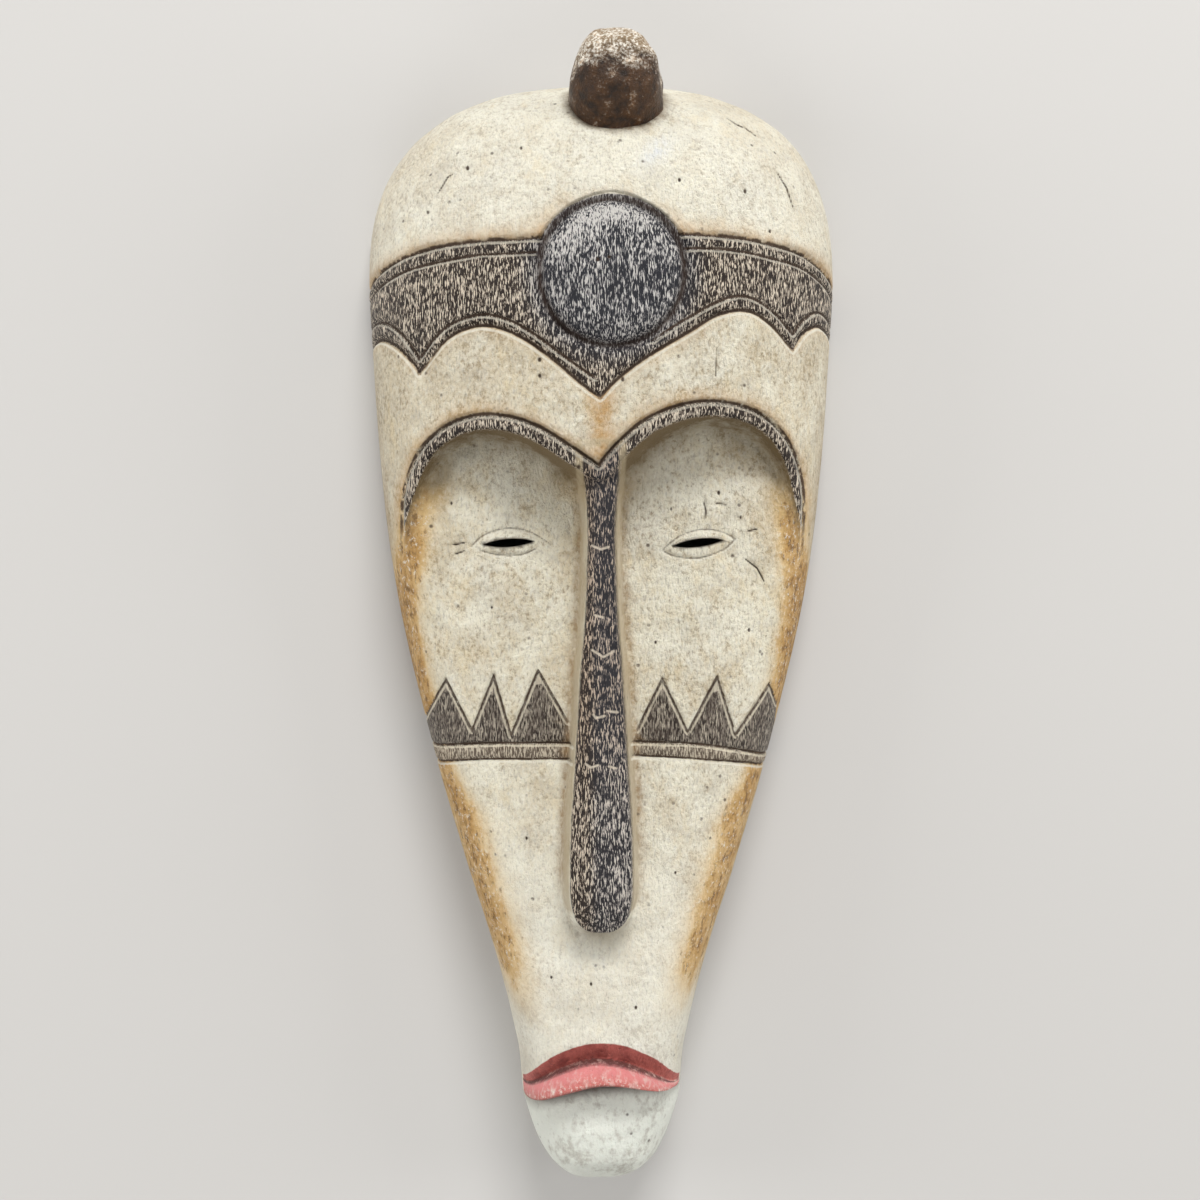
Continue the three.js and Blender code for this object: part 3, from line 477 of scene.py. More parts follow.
def incised(x, y):
    """Depth of every incised line, crack, nick and pit, and the marks they leave for the paint: how
    far a place is from the bottom and the lower edge of the nearest line, how much soot and painted shade
    lie in that line there and how strong the painted highlight on its lower edge is, and how far in a pit
    or crack, or in a nick, it is, each from 0 to 1."""
    wobble = 1 + 0.22 * waves(x, y, size=40, count=5, seed=3)
    depth = np.zeros(x.shape)
    marks = {name: np.full(x.shape, 3.0) for name in ("to_bottom", "to_edge")}
    marks |= {name: np.zeros(x.shape) for name in ("soot_and_shade", "lit_edge", "pitted", "nicked")}
    sets = [(curve_through(line), BAND_CUT) for line in [BAND_TOP] + SCALLOPS]
    sets += [(curve_through(line), FINE_CUT) for line in [BAND_INNER] + SCALLOPS_INNER]
    sets += [(curve_through(line), LOW_CUT) for line in LINES_LEFT + LINES_RIGHT]
    sets += [(corners_of(line), TOOTH_CUT) for line in (ZIGZAG_LEFT, ZIGZAG_RIGHT)]
    sets += [(curve_through(line, 2), LID_CUT) for line in LEFT_LIDS + RIGHT_LIDS]
    radius = from_disc(x, y)
    free = ramp(radius, DISC_RADIUS + 3.5, DISC_RADIUS + 5.5)
    for line, (upper, lower, cut, soot_shade) in sets:
        _, side, along = beside(line, x, y, 9)
        ends = free * (0.5 + 0.5 * np.minimum(ramp(along, 0, 0.03), 1 - ramp(along, 0.97, 1)))
        v = v_cut(side * (1 / wobble), upper, lower)
        depth = np.maximum(depth, cut * v * wobble * ends)
        settle(marks, side, upper, lower, soot_shade * ends, free)
    for line in (brow_left, brow_right):
        _, side, along = beside(line, x, y, 9)
        tail = along if line is brow_left else 1 - along
        v = v_cut(side, *BROW_CUT) * (0.25 + 0.75 * ramp(tail, 0, 0.12))
        depth = np.maximum(depth, BROW_DEPTH * v * wobble)
        begun = ramp(tail, 0.02, 0.14)
        settle(marks, side, *BROW_MARK, 0.25 + 0.75 * begun, 0.8 * begun)
    for crack in CRACKS:
        near, _, along = beside(corners_of(crack), x, y, 5)
        v = unit(1 - near / (0.95 - 0.4 * np.abs(2 * along - 1)))
        depth = np.maximum(depth, CRACK_DEPTH * v)
        marks["pitted"] = np.maximum(marks["pitted"], v)
    for nick in NICKS:
        v = unit(1 - beside(corners_of(nick), x, y, 5)[0] / NICK_WIDTH)
        depth = np.maximum(depth, NICK_DEPTH * v)
        marks["nicked"] = np.maximum(marks["nicked"], v)
    for pit_across, pit_up, size in PITS:
        r = np.hypot(x - across(pit_across), (y - up(pit_up)) * 0.7) / (size * 0.62)
        depth = np.maximum(depth, PIT_DEPTH * np.exp(-r**4))
        marks["pitted"] = np.maximum(marks["pitted"], np.exp(-r**4))
    return depth, marks


def disc_relief(x, y):
    """The boss: a dome like the top of a superellipsoid, with a V cut and a shallow bank round it."""
    r = from_disc(x, y) + 0.5 * waves(x, y, size=60, count=4, seed=8)
    dome = DISC_HEIGHT * (1 - unit(r / DISC_RADIUS) ** 2.3) ** 0.62
    past = r - DISC_RADIUS - 1.3
    cut = MOAT_DEPTH * unit(1 - np.where(past < 0, -past, past * 0.45) / 2)
    bank = MOAT_BANK * unit(1 - np.abs(r - DISC_RADIUS - 5.6) / 1.2)
    upper = rise(y, 82.4, 83.2)
    return dome - np.where(r > DISC_RADIUS - 2, np.maximum(cut, bank * (1 + upper)), 0)


def brow_place(x, y):
    """Distance into the heart from the brow line, the roll's width there, and the wall's softness."""
    into = inside(heart, x, y, 60)
    below = 1 - rise(y, 57, 64.5)
    return into, BROW_WIDTH * (1 - 0.85 * below), SOCKET_SLOPE * (1 + 4 * below), below


def front(angle, y):
    """The carved front at an angle from the middle line and a height: places in mm, and how far the
    rolls of the brows stand out of it."""
    t = np.sin(angle)
    x = middle(y) + half_width(y) * t
    into, roll, soft, below = brow_place(x, y)
    floor = ramp(into, roll * 0.9, roll + soft)
    z = section(t, y) - floor * hollow_depth(t, y)
    bead = BROW_RISE * np.sin(np.pi * unit((into - 1.2) / np.maximum(roll, 1))) * (1 - below)
    z = z + disc_relief(x, y)
    out = -inside(nose_edge, x, y, 40)
    lean = NOSE_SLOPE + NOSE_SLOPE_LOW_LEFT * ramp(-x, 2, 8) * (1 - rise(y, 28, 45))
    face = smooth_through(NOSE_HEIGHT, percent_up(y)) / 100 * FACE_DEPTH
    tip = unit((up(NOSE_ROUND) - y) / up(NOSE_ROUND - NOSE_TIP))
    face = face - NOSE_EDGE * (x / across(NOSE_WIDEST)) ** 2 - NOSE_TIP_DROP * tip ** 2
    wall = unit((out + 0.6) / (lean + 0.6)) ** 0.85
    ridge = face * (1 - wall) + z * wall
    z = np.where((out < lean) & (into > roll * 0.6), np.maximum(z, ridge), z)
    z = z + mouth_relief(t, y) + LID_RISE * eye_bulge(x, y)
    edge = np.minimum(1, (1 - np.abs(t)) * 30) * np.minimum(1, z / 10)
    uneven = 0.7 * waves(x, y, size=90, count=6, seed=1)
    uneven = uneven + 0.35 * waves(x, y, size=34, count=6, seed=2)
    z = z + (uneven + flats(x, y, size=26, depth=1.3, seed=4)) * edge
    return x, y, np.maximum(z, 0), bead


def surface_normals(x, y, z):
    """Unit normals of a grid of points, from the cross product of its two directions."""
    points = np.stack([x, y, z], axis=-1)
    rows, columns = np.gradient(points, axis=0), np.gradient(points, axis=1)
    normal = np.cross(columns, rows)
    return normal / np.maximum(np.linalg.norm(normal, axis=-1, keepdims=True), 1e-9)


# The back
# The hollow is cut with a gouge to leave a shell of about 20 mm, and a flat rim on which the mask
# lies. It is never painted. A short round hole in the rim at the crown takes a nail.
WALL, RIM, RIM_END = 20.0, 19.0, 22.0
HOLE_AT = (float(across(6)), FACE_LENGTH - RIM_END / 2)
HOLE_WIDTH, HOLE_DEPTH = 9.0, 22.0


def back(angle, y):
    """The hollow: the block's own shape, smaller by the rim and the wall, with shallow gouge cuts. The
    height is a superellipse across, 0 at the rim."""
    y_in = RIM_END + y * (FACE_LENGTH - 2 * RIM_END) / FACE_LENGTH
    outer = half_width(y)
    width = np.maximum(outer - RIM * (1 - np.exp(-outer / 12)), 0)
    height = np.maximum(crest(y) - hollow_depth(0, y) - WALL, 0)
    s = np.sin(angle)
    x = middle(y) + width * s
    z = height * (1 - np.abs(s) ** 2.6) ** 0.5
    cuts = flats(x * 1.6, y_in * 0.8, size=24, depth=3.5, seed=6)
    cuts = cuts + 0.5 * waves(x, y_in, size=50, count=5, seed=9)
    return x, y_in, z + cuts * np.minimum(1, z / 12)


ROWS, FRONT_COLUMNS, BACK_COLUMNS = ((900, 520, 110))
TRIANGLES = 186000
MERGE = 0.02 * MM


def block_mesh():
    """The block as one closed surface: each row is a loop across the front and back through the
    hollow, and the loops of the first and last row close to points."""
    v = np.linspace(0, 1, ROWS)
    height = FACE_LENGTH * (0.35 * (0.5 - 0.5 * np.cos(np.pi * v)) + 0.65 * v)
    angle = np.linspace(-np.pi / 2, np.pi / 2, FRONT_COLUMNS)
    grid_angle, grid_y = np.meshgrid(angle, height)
    x, y, z, bead = (part.reshape(grid_y.shape) for part in front(grid_angle.ravel(), grid_y.ravel()))
    normal = surface_normals(x, y, z)
    depth = incised(x.ravel(), y.ravel())[0]
    shift = (bead - depth.reshape(x.shape)) * np.minimum(1, z / 4)
    outside = np.stack([x, y, z], axis=-1) + normal * shift[..., None]
    outside[..., 2] = np.maximum(outside[..., 2], 0)
    back_angle, back_y = np.meshgrid(np.linspace(np.pi / 2, -np.pi / 2, BACK_COLUMNS), height)
    inner = np.stack(back(back_angle, back_y), axis=-1)
    loops = np.concatenate([outside, inner], axis=1)
    count = loops.shape[1]
    row, column = np.meshgrid(np.arange(ROWS - 1), np.arange(count), indexing="ij")
    a = row * count + column
    b = row * count + (column + 1) % count
    quads = np.stack([a, b, b + count, a + count], axis=-1).reshape(-1, 4)
    return loops.reshape(-1, 3), quads


def placed(name, data):
    """A new object of a mesh, a light or a camera, in the scene."""
    thing = bpy.data.objects.new(name, data)
    bpy.context.scene.collection.objects.link(thing)
    return thing


def new_mesh(name, points, faces):
    """A mesh object from points in mm above the chin, and faces of equal length. Points that coincide
    are merged by its first modifier."""
    mesh = bpy.data.meshes.new(name)
    place = (np.asarray(points) + [0, CHIN, 0]) * MM
    sides = faces.shape[1]
    mesh.vertices.add(len(place))
    mesh.vertices.foreach_set("co", place.astype(np.float32).ravel())
    mesh.loops.add(faces.size)
    mesh.loops.foreach_set("vertex_index", faces.astype(np.int32).ravel())
    mesh.polygons.add(len(faces))
    mesh.polygons.foreach_set("loop_start", np.arange(0, faces.size, sides, dtype=np.int32))
    mesh.update(calc_edges=True)
    mesh.validate()
    piece = placed(name, mesh)
    weld = piece.modifiers.new("weld", "WELD")
    weld.merge_threshold = MERGE
    return piece


def finish_mesh(piece):
    """The piece's modifiers are applied, which leaves a plain mesh."""
    whole = piece.evaluated_get(bpy.context.evaluated_depsgraph_get())
    mesh = bpy.data.meshes.new_from_object(whole)
    piece.modifiers.clear()
    piece.data = mesh


def turned(eye):
    """Middle of an eye in mm, and the cosine and sine of its tilt."""
    eye_across, eye_up, tilt = eye
    return across(eye_across), up(eye_up), math.cos(math.radians(tilt)), math.sin(math.radians(tilt))


def cutters():
    """Two lens-shaped prisms, each the slit's outline y = h(1 - s²) above and below its middle, and a
    round one for the blind hole that takes a nail."""
    points, faces, rings = [], [], []
    s = np.linspace(-1, 1, 17)
    out = np.concatenate([s, s[-2:0:-1]]) * SLIT_LENGTH / 2
    bow = np.concatenate([-(1 - s * s), 1 - s[-2:0:-1] ** 2]) * SLIT_HEIGHT / 2
    for at_x, at_y, c, k in map(turned, EYES):
        rings.append((out * c - bow * k + at_x, out * k + bow * c + at_y, 8.0, 130.0))
    turn = np.linspace(0, 2 * np.pi, 24, endpoint=False)
    hole_x, hole_y = HOLE_WIDTH / 2 * np.cos(turn), HOLE_WIDTH / 2 * np.sin(turn)
    rings.append((hole_x + HOLE_AT[0], hole_y + HOLE_AT[1], -5.0, HOLE_DEPTH))
    for ring_x, ring_y, *levels in rings:
        start, count = len(points), len(ring_x)
        for z in levels:
            points += [(px, py, z) for px, py in zip(ring_x, ring_y)]
        for i in range(count):
            j = (i + 1) % count
            faces.append((start + i, start + j, start + count + j, start + count + i))
        faces.append(tuple(start + i for i in range(count))[::-1])
        faces.append(tuple(start + count + i for i in range(count)))
    mesh = bpy.data.meshes.new("cutters")
    mesh.from_pydata([(px * MM, (py + CHIN) * MM, pz * MM) for px, py, pz in points], [], faces)
    return placed("cutters", mesh)


mask = new_mesh("carved_mask", *block_mesh())
thin = mask.modifiers.new("thin", "DECIMATE")
thin.ratio = TRIANGLES / (2 * ROWS * (FRONT_COLUMNS + BACK_COLUMNS))
cutter = cutters()
pierce = mask.modifiers.new("pierce", "BOOLEAN")
pierce.object = cutter
pierce.operation = "DIFFERENCE"
pierce.solver = "EXACT"
finish_mesh(mask)
bpy.data.objects.remove(cutter)

# The knob
# A peg for the head cloth, carved from the same block: a thick rounded stub that leans out of the
# crown, worn dark and greasy on its front, and dusty and painted lighter on top, as painted light.
KNOB_SIZE = (57.0, 84.0, 58.0)
KNOB_LEAN = math.radians(45)
KNOB_AT = (6, 96.3, 70.0)
KNOB_ROUNDING = 0.84
KNOB_WAVES, KNOB_WAVE_SIZES, KNOB_DENT = 26, (34, 9), 0.00022


def knob_mesh():
    """A superellipsoid, whose coordinates are sines and cosines raised to one power, turned about X."""
    rows, columns = ((150, 220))

    def part(value):
        return np.sign(value) * np.abs(value) ** KNOB_ROUNDING

    polar, turn = np.meshgrid(np.linspace(0, np.pi, rows),
                              np.linspace(0, 2 * np.pi, columns, endpoint=False), indexing="ij")
    x = KNOB_SIZE[0] / 2 * part(np.sin(polar)) * part(np.cos(turn))
    y = KNOB_SIZE[2] / 2 * part(np.sin(polar)) * part(np.sin(turn))
    z = KNOB_SIZE[1] / 2 * part(np.cos(polar))
    points = np.stack([x, y, z], axis=-1)
    turns = np.random.default_rng(21).normal(size=(KNOB_WAVES, 3))
    turns = turns / np.linalg.norm(turns, axis=1, keepdims=True)
    sizes = np.linspace(*KNOB_WAVE_SIZES, KNOB_WAVES)
    dents = np.ones(x.shape)
    for phase, (turn, size) in enumerate(zip(turns, sizes)):
        dents += KNOB_DENT * size * np.sin(points @ turn * 2 * np.pi / size + phase * 1.7)
    x, y, z = np.moveaxis(points * dents[..., None], -1, 0)
    c, s = math.cos(KNOB_LEAN), math.sin(KNOB_LEAN)
    out_of_crown = [x + across(KNOB_AT[0]), y * c + z * s + up(KNOB_AT[1]), z * c - y * s + KNOB_AT[2]]
    a = np.arange(rows - 1)[:, None] * columns + np.arange(columns)[None]
    b = np.arange(rows - 1)[:, None] * columns + (np.arange(columns)[None] + 1) % columns
    quads = np.stack([a, a + columns, b + columns, b], axis=-1).reshape(-1, 4)
    return np.stack(out_of_crown, axis=-1).reshape(-1, 3), quads


knob = new_mesh("knob", *knob_mesh())
finish_mesh(knob)

# Where each paint lies
# White kaolin over the whole face, then a blackish brown on the band, boss, brows, nose and teeth,
# and two reds on the lips. Soot, oil and painted shade lie in the cuts. The paint is told from attributes.
REACH = 30.0
DISC_PAINT_EDGE = 4


def bell(value, middle, width):
    """1 at the middle, and exp(-s²) at s widths to either side of it."""
    return np.exp(-(((value - middle) / width) ** 2))


def span(y, start, full, fall, end):
    """0 at start, 1 from full to fall and 0 at end, all in percent of the length."""
    return rise(y, start, full) * (1 - rise(y, fall, end))


def in_either(outlines, x, y):
    """Distance into the nearer of some closed outlines, minus outside them."""
    return np.max([inside(outline, x, y, REACH) for outline in outlines], axis=0)


def slit_wall(x, y):
    """1 in the cut of an eye and 0 on the lids."""
    slit_shade = np.zeros(x.shape)
    for at_x, at_y, c, k in map(turned, EYES):
        along = (x - at_x) * c + (y - at_y) * k
        over = (y - at_y) * c - (x - at_x) * k
        s = along / (SLIT_LENGTH / 2 + 0.6)
        lens = SLIT_HEIGHT / 2 * (1 - s * s) + 0.9 - np.abs(over)
        slit_shade = np.maximum(slit_shade, unit(lens) * (np.abs(s) < 1))
    return slit_shade


def near_knob(x, y, z):
    """exp(-d/3) at a distance of d mm from the knob, near the crown, and 0 elsewhere."""
    tree = KDTree(len(knob.data.vertices))
    for number, vertex in enumerate(knob.data.vertices):
        tree.insert(vertex.co, number)
    tree.balance()
    share = np.zeros(x.shape)
    for k in np.nonzero((y > up(88)) & (z > 40))[0]:
        away = tree.find((x[k] * MM, (y[k] + CHIN) * MM, z[k] * MM))[2] / MM
        share[k] = math.exp(-away / 3)
    return share


def bare_wood(x, y, z, t, facing, floor):
    """1 where no paint comes: on faces turned to the back, in the nail's hole and in the hollow, which
    is all that lies well under the floor of the face and clear of the rim."""
    in_hole = np.hypot(x - HOLE_AT[0], y - HOLE_AT[1]) < HOLE_WIDTH * 0.6
    clear_of_rim = np.minimum((1 - np.abs(t)) * half_width(y), np.minimum(y, FACE_LENGTH - y))
    in_hollow = (floor - z > WALL * 0.65) & (clear_of_rim > RIM * 0.55)
    return unit(ramp(-facing, 0.02, 0.12) + in_hole + in_hollow)


def painted_areas(x, y, z, facing):
    """For every vertex, signed distances in mm into each colour's area, and weights from 0 to 1."""
    t = (x - middle(y)) / np.maximum(half_width(y), 1)
    from_side = (1 - np.abs(t)) * half_width(y)
    into, roll, soft, _ = brow_place(x, y)
    radius = from_disc(x, y)
    out = -inside(nose_edge, x, y, REACH)
    tail = rise(y, 56.5, 63.5)
    marks = incised(x, y)[1]

    ends = band.copy()
    ends[:, 0] *= np.where(np.abs(ends[:, 0]) > HALF_WIDTH * 0.99, 1.2, 1)
    in_band = inside(ends, x, y, REACH)
    in_disc = DISC_RADIUS + DISC_PAINT_EDGE + 1.5 * rise(y, 80, 84) - radius
    in_brow = np.minimum(into - 0.3, roll * 1.08 - into) - 2.5 * (1 - tail)
    in_nose = np.minimum(inside(nose_edge + [0.8, 0], x, y, REACH) + 0.9, into - 1)
    sides = ((ZIGZAG_LEFT, LINES_LEFT), (ZIGZAG_RIGHT, LINES_RIGHT))
    over_line = [np.vstack([corners_of(zigzag), curve_through(lines[0])[::-1]]) for zigzag, lines in sides]
    in_teeth = in_either(over_line, x, y)
    in_lines = [np.vstack([curve_through(a), curve_through(b)[::-1]]) for _, (a, b) in sides]

    top, line, bottom = mouth_lines(t)
    corner = (MOUTH_REACH * 1.01 - np.abs(t)) * half_width(y)
    below_tip = up(NOSE_TIP) - y
    above_band = np.exp(-beside(curve_through(BAND_TOP), x, y, REACH)[0] / 7) * (y > up(80))
    above_band = above_band + 0.3 * np.exp(-np.abs(radius - 48) / 5)
    above_brow = np.exp(-np.abs(into) / 6) * (into < 0) * tail
    over_scallops = np.exp(-np.abs(in_band) / 5) * (y < up(79)) * 0.6
    cusp = bell(x, 0, 7) * span(y, 65, 67, 70, 72)
    socket = bell(into - roll, 5, 11) * span(y, 36, 46, 60, 66)
    wide = 9 + 5 * (1 - rise(y, 34, 40))
    shoulder = bell(from_side, wide, wide) * span(y, 15, 24, 50, 60)
    under = np.clip(into - roll, 0, 99)
    shaded = (0.55 * np.exp(-under / 14) + 1.1 * np.exp(-under / 4.5)) * (into > roll * 0.9)
    left_brow = bell(x, -across(50), 55) * span(y, 68, 70, 76, 78)
    slant = (x - y * 0.6 + up(91) * 0.6 - across(21)) / 9
    moat = radius - DISC_RADIUS - 1.8
    floor = section(t, y) - ramp(into, roll * 0.9, roll + soft) * hollow_depth(t, y)
    return marks | {
        "dark": np.max([in_band, in_disc, in_brow, in_nose, in_teeth], axis=0),
        "teeth": in_teeth,
        "strip": in_either(in_lines, x, y),
        "blue": unit(ramp(in_disc, -14, 4) + 0.75 * ramp(in_nose, -1, 1) * ramp(x, -9, -1)),
        "dense": ramp(in_nose, -1, 1) * (0.2 + 0.8 * rise(y, 33, 46)),
        "disc_top_wear_and_sheen": bell(x, across(1), 26) * bell(radius, 33, 6) * (y > up(81)),
        "upper_lip": np.minimum(np.minimum(top - y, y - line), corner),
        "lower_lip": np.minimum(np.minimum(line - y, y - bottom), corner),
        "lip_place": np.clip((y - bottom) / np.maximum(line - bottom, 1), -1, 2),
        "under_lip_shadow": unit(1 - (bottom - y) / 8) * (y < bottom) * unit(1.15 - np.abs(t)),
        "chin": ramp(bottom - y, -1, 2) * (np.abs(t) < 0.99),
        "flank": ramp(np.abs(t), 0.55, 0.95) * rise(y, 52, 66) + left_brow,
        "pale": 1 - rise(y, 20, 42) + 0.55 * rise(y, 76, 84),
        "patch": np.exp(-(slant**2 + ((y - up(91)) / 11) ** 2)),
        "edge": np.exp(-from_side / 5) * span(y, 14, 22, 62, 72),
        "stain": unit(above_band + above_brow + over_scallops + cusp),
        "ochre": np.clip(1.2 * socket + 1.1 * shoulder, 0, 1.15),
        "heart": ramp(into, 0, 6) * rise(y, 38, 48),
        "under_brow": shaded * (0.75 + 0.6 * bell(np.abs(x), 24, 26)) * rise(y, 57, 63),
        "nose_wall_shade": ramp(out, 0.2, 1) * (1 - ramp(out, 4, 5.5)) * (y > up(27)),
        "nose_foot_ochre_shade": bell(out, 6, 2.2) * span(y, 26, 32, 60, 66),
        "nose_tip_shadow": bell(x, 0, 13) * unit(1 - below_tip / 15) * (below_tip > -6) * (out > -0.5),
        "moat": bell(moat, 1.2 * rise(y, 80, 85), 1.9),
        "slit_shade": slit_wall(x, y),
        "knob_foot_shadow": near_knob(x, y, z),
        "bare": bare_wood(x, y, z, t, facing, floor),
    }


def give(piece, values):
    """Store each named array on the piece's vertices as a float attribute."""
    for name, value in values.items():
        attribute = piece.data.attributes.new(name, "FLOAT", "POINT")
        attribute.data.foreach_set("value", np.asarray(value, np.float32))


def vertex_arrays(piece):
    """Places in mm above the chin, and normals, of the piece's vertices."""
    count = len(piece.data.vertices)
    place, normal = np.empty(count * 3, np.float32), np.empty(count * 3, np.float32)
    piece.data.vertices.foreach_get("co", place)
    piece.data.vertices.foreach_get("normal", normal)
    return (place.reshape(-1, 3) / MM - [0, CHIN, 0]).astype(float).T, normal.reshape(-1, 3).astype(float).T


place, normal = vertex_arrays(mask)
give(mask, painted_areas(*place, normal[2]))
give(knob, {"to_crown": vertex_arrays(knob)[1][1]})
for piece in (mask, knob):
    piece.data.polygons.foreach_set("use_smooth", np.ones(len(piece.data.polygons), bool))
    piece.data.set_sharp_from_angle(angle=math.radians(62))

# The paints
# Kaolin is a matt, slightly yellow white with a fine streaky grain of the brush, rubbed thin in
# places so the ochre wood shows. The blackish brown is scraped by a rasp down to cream flecks.


class Value:
    """A socket in a material. Sums and products of sockets and numbers make math nodes."""

    def __init__(self, sheet, socket):
        self.sheet, self.socket = sheet, socket

    def math(self, operation, a, b=None, clamp=False):
        inputs = {i: v for i, v in enumerate((a, b)) if v is not None}
        return self.sheet.node("ShaderNodeMath", {"operation": operation, "use_clamp": clamp}, inputs)

    def __add__(self, other):
        return self.math("ADD", self, other)

    def __radd__(self, other):
        return self.math("ADD", other, self)

    def __sub__(self, other):
        return self.math("SUBTRACT", self, other)

    def __rsub__(self, other):
        return self.math("SUBTRACT", other, self)

    def __mul__(self, other):
        return self.math("MULTIPLY", self, other)

    def __rmul__(self, other):
        return self.math("MULTIPLY", other, self)

    def size(self):
        return self.math("ABSOLUTE", self)

    def clamped(self):
        return self.math("ADD", self, 0.0, clamp=True)

    def above(self, start, end):
        """0 up to start and 1 from end, evenly between them."""
        return self.math("MULTIPLY", self - start, 1 / (end - start), clamp=True)

    def swing(self, amount):
        """Noise moved to lie about 0, times an amount."""
        return (self - 0.5) * amount


class Sheet:
    """One material, and the few ways in which its nodes are made."""

    def __init__(self, name):
        self.material = bpy.data.materials.new(name)
        self.material.use_nodes = True
        self.tree = self.material.node_tree
        self.shader = self.tree.nodes["Principled BSDF"]
        self.place = self.node("ShaderNodeTexCoord", output="Object")

    def node(self, kind, settings=None, inputs=None, output=0):
        made = self.tree.nodes.new(kind)
        for name, value in (settings or {}).items():
            setattr(made, name, value)
        for key, value in (inputs or {}).items():
            if isinstance(value, Value):
                self.tree.links.new(value.socket, made.inputs[key])
            else:
                made.inputs[key].default_value = value
        return Value(self, made.outputs[output])

    def area(self, name):
        """An attribute of the piece."""
        return self.node("ShaderNodeAttribute", {"attribute_name": name}, output="Fac")

    def noise(self, size, stretch, detail, rough, shift):
        """Noise with grains of a size in mm, stretched along each axis, about 0 to 1 with middle 0.5."""
        steps = tuple(1 / (size * MM * s) for s in stretch)
        moves = (shift, shift * 2, -shift)
        scaled = self.node("ShaderNodeVectorMath", {"operation": "MULTIPLY"}, {0: self.place, 1: steps})
        moved = self.node("ShaderNodeVectorMath", {"operation": "ADD"}, {0: scaled, 1: moves})
        return self.node("ShaderNodeTexNoise", {"noise_dimensions": "3D"},
                         {"Vector": moved, "Scale": 1.0, "Detail": detail, "Roughness": rough})

    def mix(self, share, first, second):
        """The first colour where the share is 0, the second where it is 1."""
        a = first if isinstance(first, Value) else (*first, 1)
        b = second if isinstance(second, Value) else (*second, 1)
        return self.node("ShaderNodeMix", {"data_type": "RGBA"}, {0: share, 6: a, 7: b}, output=2)

    def over(self, ground, share, most, colour):
        """A colour laid over the ground, by a share that is kept from 0 to 1, times its most."""
        return self.mix(share.clamped() * most, ground, colour)

    def even(self, name, value):
        """One value all over the surface."""
        self.shader.inputs[name].default_value = value

    def link(self, value, name):
        self.tree.links.new(value.socket, self.shader.inputs[name])

    def bump(self, height, depth):
        """The bump of a height, one unit of which is a depth in mm."""
        inputs = {"Strength": 1.0, "Distance": depth * MM, "Height": height}
        self.link(self.node("ShaderNodeBump", {}, inputs), "Normal")

    def cover(self, piece):
        """The piece is painted with this material alone."""
        piece.data.materials.clear()
        piece.data.materials.append(self.material)

CREAM = (0.895, 0.85, 0.69)
CREAM_GREY = (0.77, 0.73, 0.61)
CREAM_WARM = (0.80, 0.66, 0.40)
CHALK = (0.97, 0.955, 0.86)
CHIN_LIT_WHITE = (0.90, 0.93, 0.85)
PATCH_WHITE = (0.78, 0.81, 0.84)
TAN = (0.60, 0.49, 0.32)
GREY_BROWN = (0.36, 0.315, 0.25)
CLOUD = (0.42, 0.36, 0.27)
DIRT = (0.34, 0.255, 0.15)
OCHRE_PALE = (0.80, 0.55, 0.235)
OCHRE = (0.55, 0.30, 0.085)
OCHRE_BROWN = (0.29, 0.165, 0.06)
OCHRE_DARK = (0.17, 0.09, 0.035)
BROW_SHADE = (0.18, 0.12, 0.05)

paint = Sheet("painted_wood")
area = paint.area
blotch = paint.noise(46, stretch=(1, 1.3, 1), detail=4, rough=0.6, shift=3)
mottle = paint.noise(13, stretch=(1, 1.5, 1), detail=4, rough=0.62, shift=7)
grain = paint.noise(1.5, stretch=(1, 2.6, 1), detail=3, rough=0.65, shift=1)
streak = paint.noise(2.4, stretch=(1, 7, 1.5), detail=3, rough=0.6, shift=5)
rasp = paint.noise(0.7, stretch=(1, 6, 2), detail=2, rough=0.6, shift=9)
dust = paint.noise(5, stretch=(1, 1.4, 1), detail=4, rough=0.7, shift=12)
speck = paint.noise(2.6, stretch=(1, 1.3, 1), detail=5, rough=0.78, shift=15)
tan = paint.noise(52, stretch=(1, 1.2, 1), detail=7, rough=0.68, shift=41)
cloud = paint.noise(34, stretch=(1, 0.75, 1), detail=6, rough=0.72, shift=19)
smudge = paint.noise(17, stretch=(1.6, 0.7, 1), detail=6, rough=0.75, shift=27)
thin_paint = paint.noise(22, stretch=(0.8, 1.6, 1), detail=5, rough=0.7, shift=33)

white = paint.mix(blotch.swing(2.4) + mottle.swing(1.3) + 0.25, CREAM, CREAM_GREY)
white = paint.over(white, (mottle - 0.54) * 3.4 + area("heart") * 0.22, 0.6, CREAM_WARM)
white = paint.mix((streak - 0.58).above(0, 0.25) * 0.35, white, CREAM_WARM)
flank = area("flank")
tanned = (tan.swing(5) + mottle.swing(1.5) + flank * 0.7 + 0.2).clamped() * (0.3 + grain * 1.1)
white = paint.mix(tanned * 0.7, white, TAN)
white = paint.over(white, (0.5 - grain) * 4, 0.7, GREY_BROWN)
spots = (0.455 - speck) * 10 + blotch.swing(2) + mottle.swing(2.4) + flank * 0.25
white = paint.over(white, spots, 0.66, DIRT)
stained = ((cloud - 0.52) * 7).clamped()
white = paint.over(white, stained * ((speck - 0.36) * 3.5 + dust.swing(2)), 0.75, CLOUD)
smudged = ((smudge - 0.6) * 10).clamped() * ((dust - 0.35) * 3).clamped()
white = paint.mix(smudged * 0.6, white, DIRT)
white = paint.mix(((thin_paint - 0.55) * 7).clamped() * (0.25 + speck) * 0.6, white, CREAM_WARM)
white = paint.over(white, speck.swing(5), 0.5, CHALK)
white = paint.mix(area("pale") * 0.42, white, CHALK)
ochre = area("ochre")
white = paint.over(white, ochre * (0.6 + mottle * 1.4), 0.85, OCHRE_PALE)
white = paint.over(white, ochre * 1.6 + mottle.swing(2.4) + dust.swing(2.4) - 0.85, 0.85, OCHRE)
